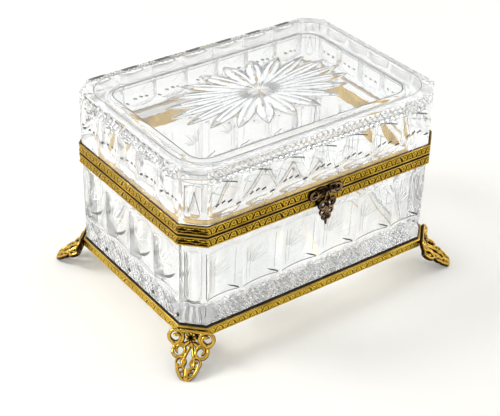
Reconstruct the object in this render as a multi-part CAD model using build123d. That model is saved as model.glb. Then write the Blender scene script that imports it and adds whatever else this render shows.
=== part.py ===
from build123d import *
from math import acos, atan2, cos, degrees, hypot, pi, radians, sin, sqrt
import os

# Cut-crystal casket box with gilt brass mounts: a canted glass body in a footed
# base frame, and a hinged glass lid with a hanging clasp.
# Millimetres, Z up, X along the long front. The origin is on the table, under
# the middle of the box. The front faces -Y.

# ---- driving dimensions ------------------------------------------------------
BAND_LENGTH = 200.0          # over the gilt rim bands, along X
BAND_DEPTH = 140.0           # over the gilt rim bands, along Y
BAND_CANT = 13.0             # each corner is cut off by this much along both sides
BAND_PROUD = 1.8             # the bands stand this far outside the glass
FOOT_HEIGHT = 18.5           # table to the underside of the base frame
BODY_GLASS_HEIGHT = 68.0     # glass body, bottom to rim
LID_GLASS_HEIGHT = 42.2      # glass lid, rim to top

# glass
WALL = 11.5                  # thickness of the glass walls
FLOOR_THICKNESS = 11.0       # glass under the body's hollow
TOP_THICKNESS = 9.5          # glass over the lid's hollow
HOLLOW_CORNER_RADIUS = 16.0  # the hollows have rounded corners inside the canted outline
HOLLOW_EDGE_BEVEL = 4.0      # hollow's floor and ceiling run into the walls over this
TOP_EDGE_BEVEL = 0.8         # ground bevel round the lid's top

# hollow-cut flutes
BODY_FLUTE_DEPTH = 2.0
BODY_FLUTE_PITCH = 30.0      # of the four middle flutes of the front and back
BODY_SIDE_FLUTES = 4
BODY_BLOCK_HEIGHT = 22.5     # uncut block below the body's flutes
BODY_FLUTE_TOP_MARGIN = 4.0  # uncut glass between the flutes and the rim band
LID_FLUTE_DEPTH = 2.6
LID_FRONT_FLUTES = 7
LID_SIDE_FLUTES = 5
LID_SHOULDER = 10.5          # height of the lid's fine-cut shoulder above the flutes
LID_FLUTE_FOOT_MARGIN = 3.5  # uncut glass between the flutes and the lid's band
FLUTE_RIDGE = 0.8            # flat left between two flutes
CANT_FLUTE_WIDTH = 10.4
CANT_FLUTE_DEPTH = 1.5

# star cut in the ceiling of the lid
STAR_PETALS = 20
STAR_REACH_X = 66.0          # longest petals, along the box
STAR_REACH_Y = 39.0          # shortest petals, across the box
STAR_EYE = 4.0               # plain eye that the petals start from
PETAL_FILL = 0.94            # width of a petal, as a share of its room between its neighbours
PETAL_WIDEST = 0.6           # where a petal is widest and deepest, as a share of its length
PETAL_DEPTH = 1.3

# gilt rim bands
BAND_HEIGHT = 6.2            # engraved outer wall of each band
BAND_WALL = 1.4
BAND_WEB = 1.4               # flat of the band that covers the glass rim
PARTING_GAP = 0.8            # each outer wall stops this far short of the parting face
PARTING_RECESS = 0.9         # the parting faces lie this far in from the outer walls
LIP_WALL = 0.8               # lip of the band inside the hollow
LIP_DEPTH = 3.2
LIP_CLEARANCE = 0.3          # lip to glass
BEDDING = 0.5                # plaster between glass and brass
BAND_CORNER_BEVEL = 0.5      # the bands' and the frame's corners are eased by this
BEAD_HEIGHT = 0.9            # plain beads above and below the engraved panel
PANEL_DEPTH = 0.35

# base frame
FRAME_PROUD = 1.5            # base frame outside the glass
FRAME_HEIGHT = 6.0
FRAME_LEDGE = 2.0            # thickness of the ledge that carries the glass
FRAME_LEDGE_WIDTH = 11.0
FRAME_LIP_SLOPE = 1.1        # sloping upper lip

# hinge at the back
HINGE_LENGTH = 64.0
HINGE_KNUCKLES = 5
KNUCKLE_RADIUS = 2.2
KNUCKLE_GAP = 0.3            # between neighbouring knuckles
HINGE_PIN_RADIUS = 0.9
PIN_CLEARANCE = 0.05
LEAF_THICKNESS = 1.0
LEAF_CLEARANCE = 0.2         # knuckle to the backs of the bands
LEAF_REACH = 6.8             # leaf's far edge, from the hinge line
STOP_TAIL_LENGTH = 4.6       # tail that stops the lid, from the hinge line
STOP_TAIL_THICKNESS = 1.2
PIN_HEAD = 0.8

# clasp at the front
CLASP_PLATE = 1.3            # thickness of the scroll-work plates
CLASP_PAD = 0.4              # pad that holds the wings clear of the lower band
CLASP_AXIS_DROP = 2.6        # clasp hinge line below the top of the lid's band
CLASP_KNUCKLE_RADIUS = 1.35
CLASP_PIN_RADIUS = 0.55
CLASP_PIN_END = 0.3          # pin beyond the outer knuckles
CLASP_STANDOFF = 2.25        # clasp hinge line in front of the bands
CLASP_DROP_KNUCKLE = 6.0     # length of the hanging piece's knuckle
CLASP_MOUNT_KNUCKLE = 3.4    # length of each of the mount's knuckles
CLASP_SPAN = 26.0            # over the scroll wings
CLASP_WING_SCROLL = 4.0      # outer radius of the wings' large scrolls
CLASP_INNER_SCROLL = 2.7     # and of the small ones beside the knuckles
CLASP_LENGTH = 25.4          # hinge line to the tip of the hanging piece
CLASP_DROP_WIDTH = 14.0      # over its upper scrolls
CLASP_NECK_WIDTH = 4.4
CLASP_STEM_WIDTH = 2.4
CLASP_UPPER_SCROLL = 3.6
CLASP_MIDDLE_SCROLL = 2.8
CLASP_LOWER_SCROLL = 2.1
STUD_RADIUS = 1.5
STUD_BEVEL = 0.3
STUD_CLEARANCE = 0.15        # stud's head to the back of the hanging piece

# scroll-work of the feet and the clasp
SCROLL_BAR = 0.4             # width of a scroll's bar, as a share of its outer radius
SCROLL_BEAD = 0.42           # bead that a scroll ends in, as a share of its inner radius
FILED_SIDES = 12             # small rounds are filed in this many flats

# feet
FOOT_WIDTH = 30.0            # over the upper scrolls
FOOT_MIDDLE_WIDTH = 23.6     # over the second pair
FOOT_LOWER_WIDTH = 16.6      # over the third pair
FOOT_UPPER_SCROLL = 5.6      # outer radii of the three pairs
FOOT_MIDDLE_SCROLL = 4.7
FOOT_LOWER_SCROLL = 3.7
FOOT_REACH = 22.6            # toe in front of the frame's canted corner
FOOT_RISE = 5.6              # the foot stands this far above the frame's underside
FOOT_THICKNESS = 2.6
FOOT_VIEW_TILT = 33.0        # the scroll-work is drawn square to this slope
FOOT_ROSETTE = 3.2
FOOT_ROSETTE_HOLE = 0.9
FOOT_DROP_WIDTH = 9.2        # teardrop between the scrolls
FOOT_DROP_BAR = 1.7
FOOT_ANKLE_WIDTH = 12.4
FOOT_TOE_WIDTH = 5.2
FOOT_TOE_HOLE = 1.0
TOE_FLAT_LENGTH = 3.4
LUG_THICKNESS = 1.6          # lug under the frame that takes the screw
LUG_WIDTH = 7.2
SCREW_RADIUS = 1.0
SCREW_CLEARANCE = 0.15
SCREW_HEAD_RADIUS = 2.2      # over the corners of the six-sided head
SCREW_HEAD_HEIGHT = 1.4
SCREW_INSET = 6.2            # screw behind the frame's canted face

# ---- derived sizes -------------------------------------------------------------
half_x = BAND_LENGTH / 2
half_y = BAND_DEPTH / 2
frame_top = FOOT_HEIGHT + FRAME_HEIGHT
glass_bottom = FOOT_HEIGHT + FRAME_LEDGE + BEDDING
body_rim = glass_bottom + BODY_GLASS_HEIGHT
parting = body_rim + BEDDING + BAND_WEB
lid_rim = parting + BAND_WEB + BEDDING
lid_top = lid_rim + LID_GLASS_HEIGHT
body_band_top = parting - PARTING_GAP
body_band_bottom = body_band_top - BAND_HEIGHT
lid_band_bottom = parting + PARTING_GAP
lid_band_top = lid_band_bottom + BAND_HEIGHT
hollow_floor = glass_bottom + FLOOR_THICKNESS
hollow_ceiling = lid_top - TOP_THICKNESS
hinge_y = half_y + LEAF_CLEARANCE + KNUCKLE_RADIUS
clasp_y = -half_y - CLASP_STANDOFF
clasp_z = lid_band_top - CLASP_AXIS_DROP
foot_top = FOOT_HEIGHT + FOOT_RISE
crown = 0.9 * FOOT_THICKNESS
foot_fall = ((FOOT_REACH - crown) * sin(radians(FOOT_VIEW_TILT))
             + foot_top * cos(radians(FOOT_VIEW_TILT)))

# how much a cant shortens for each millimetre that its outline moves in
CANT_SHRINK = 2 - sqrt(2)


# ---- outlines -------------------------------------------------------------------
def canted(inset):
    """Octagon of the bands' outline, moved in by inset all round."""
    x = half_x - inset
    y = half_y - inset
    cut = BAND_CANT - inset * CANT_SHRINK
    corners = [(x - cut, -y), (x, cut - y), (x, y - cut), (x - cut, y)]
    outline = corners + [(-px, -py) for px, py in corners]
    return Polygon(*outline, align=None)


def canted_block(inset, one_end, other_end):
    """Upright prism on the canted outline."""
    bottom = min(one_end, other_end)
    return extrude(Pos(0, 0, bottom) * canted(inset), max(one_end, other_end) - bottom)


def hollow_block(shrink, one_end, other_end):
    """Upright prism on the hollow's rounded outline, moved in by shrink."""
    width = BAND_LENGTH - 2 * (BAND_PROUD + WALL + shrink)
    depth = BAND_DEPTH - 2 * (BAND_PROUD + WALL + shrink)
    outline = RectangleRounded(width, depth, HOLLOW_CORNER_RADIUS - shrink)
    bottom = min(one_end, other_end)
    return extrude(Pos(0, 0, bottom) * outline, max(one_end, other_end) - bottom)


def filed_round(radius):
    """Flat disc filed to a many-sided round."""
    return RegularPolygon(radius, FILED_SIDES)


def filed_rod(radius, bottom, top):
    """Upright rod filed to a many-sided round."""
    return extrude(Pos(0, 0, bottom) * filed_round(radius), top - bottom)


# ---- glass ----------------------------------------------------------------------
def spaced(span, count):
    """Edges of equal flutes over a span that is centred on zero."""
    return [span * (i / count - 0.5) for i in range(count + 1)]


def flute(width, depth, bottom, top, face):
    """Cutter for one upright hollow flute at x = 0 in a wall whose outside is y = -face."""
    half = width / 2
    radius = (half ** 2 + depth ** 2) / (2 * depth)
    return Pos(0, -face - radius + depth, bottom) * Cylinder(
        radius, top - bottom, align=(Align.CENTER, Align.CENTER, Align.MIN))


def wall_flutes(front_edges, side_edges, depth, bottom, top):
    """Cutters for the flutes of all four walls."""
    cutters = []
    for edges, face, turns in ((front_edges, half_y - BAND_PROUD, (0, 180)),
                               (side_edges, half_x - BAND_PROUD, (90, 270))):
        for left, right in zip(edges, edges[1:]):
            one = flute(right - left - FLUTE_RIDGE, depth, bottom, top, face)
            for turn in turns:
                cutters.append(Rot(0, 0, turn) * Pos((left + right) / 2, 0, 0) * one)
    return cutters


def at_cants(shape):
    """A shape that faces +X, turned and moved to each canted corner of the bands' outline."""
    out = half_x - BAND_CANT / 2
    aside = half_y - BAND_CANT / 2
    places = []
    for sx, sy in ((-1, -1), (1, -1), (1, 1), (-1, 1)):
        turn = degrees(atan2(sy, sx))
        places.append(Pos(sx * out, sy * aside, 0) * Rot(0, 0, turn) * shape)
    return places


def cant_flutes(bottom, top, round_foot):
    """Cutters for the single flute down each canted corner of the glass."""
    half = CANT_FLUTE_WIDTH / 2
    radius = (half ** 2 + CANT_FLUTE_DEPTH ** 2) / (2 * CANT_FLUTE_DEPTH)
    axis = radius - CANT_FLUTE_DEPTH - BAND_PROUD
    low = bottom + half if round_foot else bottom
    cutter = Pos(axis, 0, low) * Cylinder(
        radius, top - low, align=(Align.CENTER, Align.CENTER, Align.MIN))
    if round_foot:
        cutter += Pos(axis, 0, low) * Sphere(radius)
    return at_cants(cutter)


def glass_body():
    """Thick canted glass body with its hollow and flutes above an uncut block."""
    solid = canted_block(BAND_PROUD, glass_bottom, body_rim)
    hollow = hollow_block(0, hollow_floor, body_rim + WALL)
    hollow = chamfer(hollow.edges().group_by(Axis.Z)[0], HOLLOW_EDGE_BEVEL)
    low = glass_bottom + BODY_BLOCK_HEIGHT
    high = body_band_bottom - BODY_FLUTE_TOP_MARGIN
    cant = BAND_CANT - BAND_PROUD * CANT_SHRINK
    front_end = half_x - BAND_PROUD - cant
    middle = [BODY_FLUTE_PITCH * i for i in range(-2, 3)]
    side_span = 2 * (half_y - BAND_PROUD - cant)
    cutters = wall_flutes([-front_end] + middle + [front_end],
                          spaced(side_span, BODY_SIDE_FLUTES),
                          BODY_FLUTE_DEPTH, low, high)
    return solid - hollow - cutters - cant_flutes(low, high, True)


def star_petals():
    """Mitre-cut lancets of the star in the lid's ceiling, each a long double wedge."""
    petals = []
    step = 2 * pi / STAR_PETALS
    for i in range(STAR_PETALS):
        tip_x = STAR_REACH_X * cos(step * i)
        tip_y = STAR_REACH_Y * sin(step * i)
        reach = hypot(tip_x, tip_y)
        length = reach - STAR_EYE
        room = PETAL_WIDEST * STAR_REACH_X * STAR_REACH_Y * sin(step) / reach
        half_width = PETAL_FILL * room / 2
        widest = Plane((STAR_EYE + PETAL_WIDEST * length, 0, 0), x_dir=(0, 1, 0), z_dir=(1, 0, 0))
        section = widest * Polygon((half_width, 0), (0, PETAL_DEPTH), (-half_width, 0),
                                   (0, -PETAL_DEPTH), align=None)
        petal = loft([Vertex(STAR_EYE, 0, 0), section, Vertex(reach, 0, 0)], ruled=True)
        petals.append(Rot(0, 0, degrees(atan2(tip_y, tip_x))) * Pos(0, 0, hollow_ceiling) * petal)
    return petals


def glass_lid():
    """Thick canted glass lid with its hollow, flutes, plain shoulder and star."""
    solid = canted_block(BAND_PROUD, lid_rim, lid_top)
    solid = chamfer(solid.edges().group_by(Axis.Z)[-1], TOP_EDGE_BEVEL)
    hollow = hollow_block(0, lid_rim - WALL, hollow_ceiling)
    hollow = chamfer(hollow.edges().group_by(Axis.Z)[-1], HOLLOW_EDGE_BEVEL)
    low = lid_band_top + LID_FLUTE_FOOT_MARGIN
    high = lid_top - LID_SHOULDER
    cant = BAND_CANT - BAND_PROUD * CANT_SHRINK
    cutters = wall_flutes(spaced(2 * (half_x - BAND_PROUD - cant), LID_FRONT_FLUTES),
                          spaced(2 * (half_y - BAND_PROUD - cant), LID_SIDE_FLUTES),
                          LID_FLUTE_DEPTH, low, high)
    return solid - hollow - cutters - cant_flutes(low, high, False) - star_petals()


# ---- rim bands ------------------------------------------------------------------
def rim_band(outer_low, outer_high, web_side):
    """Gilt channel round a glass rim. web_side is +1 where its web is on top."""
    web_back = parting - web_side * BAND_WEB
    wall = canted_block(0, outer_low, outer_high)
    wall = chamfer(wall.edges().filter_by(Axis.Z), BAND_CORNER_BEVEL)
    web = canted_block(PARTING_RECESS, parting, web_back)
    panel_low = outer_low + BEAD_HEIGHT
    panel_high = outer_high - BEAD_HEIGHT
    panel = canted_block(-1, panel_low, panel_high) - canted_block(PANEL_DEPTH, panel_low, panel_high)
    lip = hollow_block(LIP_CLEARANCE, web_back, web_back - web_side * LIP_DEPTH)
    pocket = canted_block(BAND_WALL, web_back, web_back - web_side * 2 * BAND_HEIGHT)
    mouth = hollow_block(LIP_CLEARANCE + LIP_WALL, outer_low - BAND_HEIGHT, outer_high + BAND_HEIGHT)
    return wall + web - panel - pocket + lip - mouth


def rim_bedding(glass_face, web_side):
    """Plaster between a glass rim and its band: a flat and a thin skirt outside the glass."""
    skirt_end = glass_face - web_side * LIP_DEPTH
    block = canted_block(BAND_WALL, glass_face + web_side * BEDDING, skirt_end)
    glass = canted_block(BAND_PROUD, glass_face, skirt_end - web_side * LIP_DEPTH)
    return block - glass - hollow_block(0, glass_face - WALL, glass_face + WALL)


# ---- base frame -----------------------------------------------------------------
def frame_inset():
    """The base frame's outside, from the bands' outline."""
    return BAND_PROUD - FRAME_PROUD


def screw_place(shape):
    """A shape at the origin, put at the foot screw of each corner."""
    return at_cants(Pos(-frame_inset() - SCREW_INSET, 0, 0) * shape)


def base_frame():
    """Gilt L-section frame round the foot of the glass, with a sloping upper lip."""
    outer = canted_block(frame_inset(), FOOT_HEIGHT, frame_top)
    outer = chamfer(outer.edges().filter_by(Axis.Z), BAND_CORNER_BEVEL)
    outer = chamfer(outer.edges().group_by(Axis.Z)[-1], FRAME_LIP_SLOPE)
    pocket = canted_block(BAND_PROUD - BEDDING / 2, FOOT_HEIGHT + FRAME_LEDGE, frame_top + 1)
    window = canted_block(frame_inset() + FRAME_LEDGE_WIDTH, FOOT_HEIGHT - 1, frame_top)
    holes = screw_place(filed_rod(SCREW_RADIUS, FOOT_HEIGHT - 1, FOOT_HEIGHT + FRAME_LEDGE + 1))
    return outer - pocket - window - holes


def base_bedding():
    """Plaster between the frame's ledge and the glass."""
    low = FOOT_HEIGHT + FRAME_LEDGE
    return (canted_block(BAND_PROUD, low, low + BEDDING)
            - canted_block(frame_inset() + FRAME_LEDGE_WIDTH, low - 1, low + 2 * BEDDING))


# ---- hinge ----------------------------------------------------------------------
def knuckle_slots():
    """Centre and length along X of every knuckle; the odd ones belong to the lid."""
    step = HINGE_LENGTH / HINGE_KNUCKLES
    return [(-HINGE_LENGTH / 2 + step * (i + 0.5), step - KNUCKLE_GAP) for i in range(HINGE_KNUCKLES)]


def lying_cylinder(radius, length):
    """Cylinder along X."""
    return Rot(0, 90, 0) * Cylinder(radius, length)


def hinge_leaf(side, slots, with_tail):
    """Leaf on the back of a band with its knuckles; side is +1 above the hinge line."""
    clear = KNUCKLE_RADIUS
    height = LEAF_REACH - clear
    leaf = Pos(0, half_y + LEAF_THICKNESS / 2, parting + side * (clear + height / 2)) * Box(
        HINGE_LENGTH, LEAF_THICKNESS, height)
    for x, length in slots:
        lug = Pos(x, half_y + LEAF_THICKNESS / 2, parting + side * clear / 2) * Box(
            length, LEAF_THICKNESS, clear)
        leaf += lug
        leaf += Pos(x, hinge_y, parting) * lying_cylinder(KNUCKLE_RADIUS, length)
        if with_tail:
            leaf += Pos(x, hinge_y + STOP_TAIL_LENGTH / 2, parting) * Box(
                length, STOP_TAIL_LENGTH, STOP_TAIL_THICKNESS)
    bore = Pos(0, hinge_y, parting) * lying_cylinder(HINGE_PIN_RADIUS + PIN_CLEARANCE, HINGE_LENGTH + 2)
    return leaf - bore


def hinge_pin():
    """Pin through all the knuckles, headed over at both ends."""
    pin = lying_cylinder(HINGE_PIN_RADIUS, HINGE_LENGTH)
    head = Rot(0, 90, 0) * filed_rod(1.5 * HINGE_PIN_RADIUS, 0, PIN_HEAD)
    for end in (-HINGE_LENGTH / 2 - PIN_HEAD, HINGE_LENGTH / 2):
        pin += Pos(end, 0, 0) * head
    return Pos(0, hinge_y, parting) * pin


# ---- scroll-work ------------------------------------------------------------------
def scroll(x, y, outer, turn):
    """Flat C-scroll: a ring whose end curls in to a bead at the angle turn."""
    inner = outer * (1 - SCROLL_BAR)
    bead = SCROLL_BEAD * inner
    reach = inner - 0.6 * bead
    end = Pos(reach * cos(radians(turn)), reach * sin(radians(turn))) * filed_round(bead)
    return Pos(x, y) * (filed_round(outer) - filed_round(inner) + end)


def scroll_pair(span, y, outer, turn):
    """Two scrolls that face each other across x = 0, span over both."""
    x = span / 2 - outer
    return scroll(x, y, outer, turn) + scroll(-x, y, outer, 180 - turn)


def teardrop(top, bottom, width):
    """Pointed drop on x = 0 with its round end at the bottom."""
    radius = width / 2
    centre = bottom + radius
    lean = acos(radius / (top - centre))
    side = radius * sin(lean)
    shoulder = centre + radius * cos(lean)
    return Pos(0, centre) * filed_round(radius) + Polygon(
        (-side, shoulder), (side, shoulder), (0, top), align=None)


# ---- feet -------------------------------------------------------------------------
def foot_side():
    """Side profile of the foot, in (out, up) from the frame's canted face at the table."""
    t = FOOT_THICKNESS
    knee = 0.7 * FOOT_HEIGHT
    outside = [(crown, foot_top), (2 * t, FOOT_HEIGHT), (1.9 * t, knee),
               (0.38 * FOOT_REACH, knee - 0.5 * t), (0.6 * FOOT_REACH, 3.3 * t),
               (FOOT_REACH, 0.9 * t)]
    sole = [(FOOT_REACH, 0), (FOOT_REACH - TOE_FLAT_LENGTH, 0)]
    inside = [(0.43 * FOOT_REACH, 1.5 * t), (t, knee - 1.2 * t), (0.9 * t, FOOT_HEIGHT - 1),
              (0, FOOT_HEIGHT), (0, foot_top)]
    return Polygon(*outside, *sole, *inside, align=None)


def foot_scrolls():
    """Openwork of the foot, drawn from its top edge (y = 0) down to the toe."""
    ankle = -0.72 * foot_fall
    drop_top = -0.21 * foot_fall
    drop_bottom = -0.8 * foot_fall
    rosette = -0.157 * foot_fall
    bridge = 0.5 * FOOT_UPPER_SCROLL
    work = scroll_pair(FOOT_WIDTH, -FOOT_UPPER_SCROLL, FOOT_UPPER_SCROLL, 250)
    work += scroll_pair(FOOT_MIDDLE_WIDTH, -0.42 * foot_fall, FOOT_MIDDLE_SCROLL, 130)
    work += scroll_pair(FOOT_LOWER_WIDTH, -0.635 * foot_fall, FOOT_LOWER_SCROLL, 240)
    work += Pos(0, -bridge / 2) * Rectangle(FOOT_WIDTH - 2 * FOOT_UPPER_SCROLL, bridge)
    work += Pos(0, rosette) * filed_round(FOOT_ROSETTE)
    work += teardrop(drop_top, drop_bottom, FOOT_DROP_WIDTH)
    work += Polygon((-FOOT_ANKLE_WIDTH / 2, ankle), (FOOT_ANKLE_WIDTH / 2, ankle),
                    (FOOT_TOE_WIDTH / 2, -foot_fall), (-FOOT_TOE_WIDTH / 2, -foot_fall), align=None)
    work += Pos(0, -foot_fall) * Rectangle(FOOT_TOE_WIDTH, FOOT_TOE_WIDTH)
    openings = teardrop(drop_top - 2 * FOOT_DROP_BAR, drop_bottom + FOOT_DROP_BAR,
                        FOOT_DROP_WIDTH - 2 * FOOT_DROP_BAR)
    openings += Pos(0, rosette) * filed_round(FOOT_ROSETTE_HOLE)
    for x in (-FOOT_TOE_WIDTH / 2, FOOT_TOE_WIDTH / 2):
        openings += Pos(x, drop_bottom - FOOT_DROP_BAR) * filed_round(FOOT_TOE_HOLE)
    return work - openings


def foot():
    """Pierced foot facing +X, from the middle of the frame's canted face."""
    side = Plane((0, 0, 0), x_dir=(1, 0, 0), z_dir=(0, -1, 0)) * foot_side()
    blank = extrude(side, FOOT_WIDTH, both=True)
    tilt = radians(FOOT_VIEW_TILT)
    look = (cos(tilt), 0, sin(tilt))
    view = Plane((crown, 0, foot_top), x_dir=(0, 1, 0), z_dir=look)
    pierced = extrude(view * foot_scrolls(), 2 * FOOT_REACH, both=True)
    low = FOOT_HEIGHT - LUG_THICKNESS
    lug = Pos(-SCREW_INSET, 0, 0) * filed_rod(LUG_WIDTH / 2, low, FOOT_HEIGHT)
    lug += Pos((crown - SCREW_INSET) / 2, 0, low + LUG_THICKNESS / 2) * Box(
        SCREW_INSET + crown, LUG_WIDTH, LUG_THICKNESS)
    hole = Pos(-SCREW_INSET, 0, 0) * filed_rod(SCREW_RADIUS + SCREW_CLEARANCE, low - 1, FOOT_HEIGHT + 1)
    return (blank & pierced) + lug - hole


def foot_screw():
    """Six-sided screw, up through a foot's lug into the frame."""
    head_top = FOOT_HEIGHT - LUG_THICKNESS
    head_bottom = head_top - SCREW_HEAD_HEIGHT
    head = extrude(Pos(0, 0, head_bottom) * RegularPolygon(SCREW_HEAD_RADIUS, 6), SCREW_HEAD_HEIGHT)
    return head + filed_rod(SCREW_RADIUS, head_top, FOOT_HEIGHT + FRAME_LEDGE)


# ---- clasp ------------------------------------------------------------------------
def front_plate(work, back, thickness):
    """Flat work drawn in (X, Z), as a plate whose back is at y = back."""
    return extrude(Plane((0, back, 0), x_dir=(1, 0, 0), z_dir=(0, -1, 0)) * work, thickness)


def clasp_bore(radius):
    """Cutter along the clasp's hinge line."""
    return Pos(0, clasp_y, clasp_z) * lying_cylinder(radius, CLASP_SPAN)


def clasp_mount():
    """Scroll wings on a pad brazed to the lid's band, with the two outer knuckles."""
    slot = CLASP_DROP_KNUCKLE / 2 + KNUCKLE_GAP
    middle = (lid_band_bottom + lid_band_top) / 2
    inner_span = 2 * (slot + CLASP_INNER_SCROLL) + CLASP_INNER_SCROLL
    work = scroll_pair(CLASP_SPAN, middle - 0.4 * CLASP_WING_SCROLL, CLASP_WING_SCROLL, 60)
    work += scroll_pair(inner_span, middle, CLASP_INNER_SCROLL, 230)
    work += Pos(0, middle) * Rectangle(2 * slot + CLASP_MOUNT_KNUCKLE, BAND_HEIGHT)
    pad = Pos(0, middle) * Rectangle(CLASP_SPAN - 2 * CLASP_WING_SCROLL, BAND_HEIGHT - 2 * BEAD_HEIGHT)
    recess = Pos(0, clasp_z) * Rectangle(2 * slot, 2 * (CLASP_KNUCKLE_RADIUS + KNUCKLE_GAP))
    mount = front_plate(pad, -half_y + PANEL_DEPTH, CLASP_PAD + PANEL_DEPTH)
    mount += front_plate(work - recess, -half_y - CLASP_PAD, CLASP_PLATE - CLASP_PAD)
    for x in (-slot - CLASP_MOUNT_KNUCKLE / 2, slot + CLASP_MOUNT_KNUCKLE / 2):
        mount += Pos(x, clasp_y, clasp_z) * lying_cylinder(CLASP_KNUCKLE_RADIUS, CLASP_MOUNT_KNUCKLE)
        mount += Pos(x, (clasp_y - half_y - CLASP_PAD) / 2, clasp_z) * Box(
            CLASP_MOUNT_KNUCKLE, CLASP_STANDOFF - CLASP_PAD, CLASP_KNUCKLE_RADIUS)
    return mount - clasp_bore(CLASP_PIN_RADIUS + PIN_CLEARANCE)


def clasp_drop():
    """Pierced ornament that hangs from the mount over the catch stud."""
    tip = clasp_z - CLASP_LENGTH
    upper = clasp_z - 0.38 * CLASP_LENGTH
    middle = clasp_z - 0.6 * CLASP_LENGTH
    lower = clasp_z - 0.77 * CLASP_LENGTH
    neck = clasp_z - upper
    work = Pos(0, upper + neck / 2) * Rectangle(CLASP_NECK_WIDTH, neck)
    work += Pos(0, (upper + lower) / 2) * Rectangle(CLASP_STEM_WIDTH, upper - lower)
    work += Pos(0, upper) * filed_round(0.7 * CLASP_UPPER_SCROLL)
    work += scroll_pair(CLASP_DROP_WIDTH, upper, CLASP_UPPER_SCROLL, 120)
    work += scroll_pair(0.78 * CLASP_DROP_WIDTH, middle, CLASP_MIDDLE_SCROLL, 240)
    work += scroll_pair(0.52 * CLASP_DROP_WIDTH, lower, CLASP_LOWER_SCROLL, 120)
    work += teardrop(lower + CLASP_LOWER_SCROLL, tip, 0.7 * CLASP_NECK_WIDTH)
    drop = front_plate(work, clasp_y + CLASP_PLATE / 2, CLASP_PLATE)
    drop += Pos(0, clasp_y, clasp_z) * lying_cylinder(CLASP_KNUCKLE_RADIUS, CLASP_DROP_KNUCKLE)
    return drop - clasp_bore(CLASP_PIN_RADIUS + PIN_CLEARANCE)


def clasp_pin():
    """Pin of the clasp's hinge."""
    length = CLASP_DROP_KNUCKLE + 2 * (KNUCKLE_GAP + CLASP_MOUNT_KNUCKLE + CLASP_PIN_END)
    return Pos(0, clasp_y, clasp_z) * lying_cylinder(CLASP_PIN_RADIUS, length)


def catch_stud():
    """Button on the body's band that the hanging piece closes against."""
    stand = CLASP_STANDOFF - CLASP_PLATE / 2 - STUD_CLEARANCE + PANEL_DEPTH
    z = (body_band_bottom + body_band_top) / 2
    stud = Pos(0, -half_y + PANEL_DEPTH, z) * Rot(90, 0, 0) * filed_rod(STUD_RADIUS, 0, stand)
    return chamfer(stud.faces().sort_by(Axis.Y)[0].edges(), STUD_BEVEL)


# ---- write every sub-part ----------------------------------------------------------
def main():
    os.makedirs("parts", exist_ok=True)
    slots = knuckle_slots()
    feet = at_cants(Pos(-frame_inset(), 0, 0) * foot())
    names = ("foot_front_left", "foot_front_right", "foot_back_right", "foot_back_left")
    nodes = {
        "glass_body": glass_body(),
        "glass_lid": glass_lid(),
        "body_rim_band": rim_band(body_band_bottom, body_band_top, 1),
        "lid_rim_band": rim_band(lid_band_bottom, lid_band_top, -1),
        "body_rim_bedding": rim_bedding(body_rim, 1),
        "lid_rim_bedding": rim_bedding(lid_rim, -1),
        "base_frame": base_frame(),
        "base_bedding": base_bedding(),
        "foot_screws": Compound(screw_place(foot_screw())),
        "hinge_leaf_body": hinge_leaf(-1, slots[0::2], False),
        "hinge_leaf_lid": hinge_leaf(1, slots[1::2], True),
        "hinge_pin": hinge_pin(),
        "clasp_mount": clasp_mount(),
        "clasp_drop": clasp_drop(),
        "clasp_pin": clasp_pin(),
        "catch_stud": catch_stud(),
    }
    nodes.update(zip(names, feet))
    for name, shape in nodes.items():
        export_step(shape, f"parts/{name}.step")


main()
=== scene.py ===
# A canted casket of thick cut crystal with gilt brass bands, on four pierced scroll feet.
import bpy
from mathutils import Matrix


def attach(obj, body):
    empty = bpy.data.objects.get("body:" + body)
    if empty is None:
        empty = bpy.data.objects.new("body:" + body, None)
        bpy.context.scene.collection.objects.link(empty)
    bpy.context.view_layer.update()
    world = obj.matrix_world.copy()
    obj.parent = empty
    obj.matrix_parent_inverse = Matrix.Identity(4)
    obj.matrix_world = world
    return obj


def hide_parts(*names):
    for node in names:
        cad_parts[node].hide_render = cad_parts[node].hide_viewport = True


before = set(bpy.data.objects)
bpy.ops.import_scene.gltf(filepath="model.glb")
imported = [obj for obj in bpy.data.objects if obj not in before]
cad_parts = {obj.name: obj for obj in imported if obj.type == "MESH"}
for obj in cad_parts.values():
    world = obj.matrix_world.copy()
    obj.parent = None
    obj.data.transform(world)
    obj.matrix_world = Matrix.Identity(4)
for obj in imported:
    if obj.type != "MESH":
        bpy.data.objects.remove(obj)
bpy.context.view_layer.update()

import copy
import itertools
import math

import bmesh
import bpy
import numpy as np
from mathutils import Matrix, Vector

MM = 0.001

# ---- Crystal body ------------------------------------------------------------
# A thick-walled, eight-cornered trough of clear lead crystal. Its outside is cut on a wheel:
# upright hollow flutes that end on a flat shoulder, over a block of crossed diamond cuts.
BODY_LENGTH = 196.4
BODY_DEPTH = 136.4
GLASS_CANT = 11.945
BODY_BOTTOM = 20.94
BODY_RIM = 89.06
BODY_SKIRT = 85.4            # the plaster under the band starts here
SET_IN = 0.05                # the glass runs this far into the plaster
BODY_SHOULDER = 43.5
BODY_FLUTE_TOP = 80.4
BODY_FLUTE_DEPTH = 2.0
FLUTE_RUN_OUT = 5.0
CANT_FLUTE_HALF = 5.2
CANT_FLUTE_DEPTH = 1.5
CANT_FLUTE_FOOT = 41.0
CANT_EDGES = (-8.4, -CANT_FLUTE_HALF, CANT_FLUTE_HALF, 8.4)
BLOCK_CUT_FROM = 24.6
BLOCK_CUT_TO = 42.4
BLOCK_MIDDLE = (BLOCK_CUT_FROM + BLOCK_CUT_TO) / 2
BLOCK_CUT_DEPTH = 0.6
FINE_CUT_DEPTH = 0.22
BLOCK_PITCH_FRONT = 15.0
BLOCK_PITCH_SIDE = 14.06
BLOCK_RISE = 17.2
CUT_FADE = 1.5               # crossed cuts run out over this at the ends of a wall
GROUND_EDGE = 0.35
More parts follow.
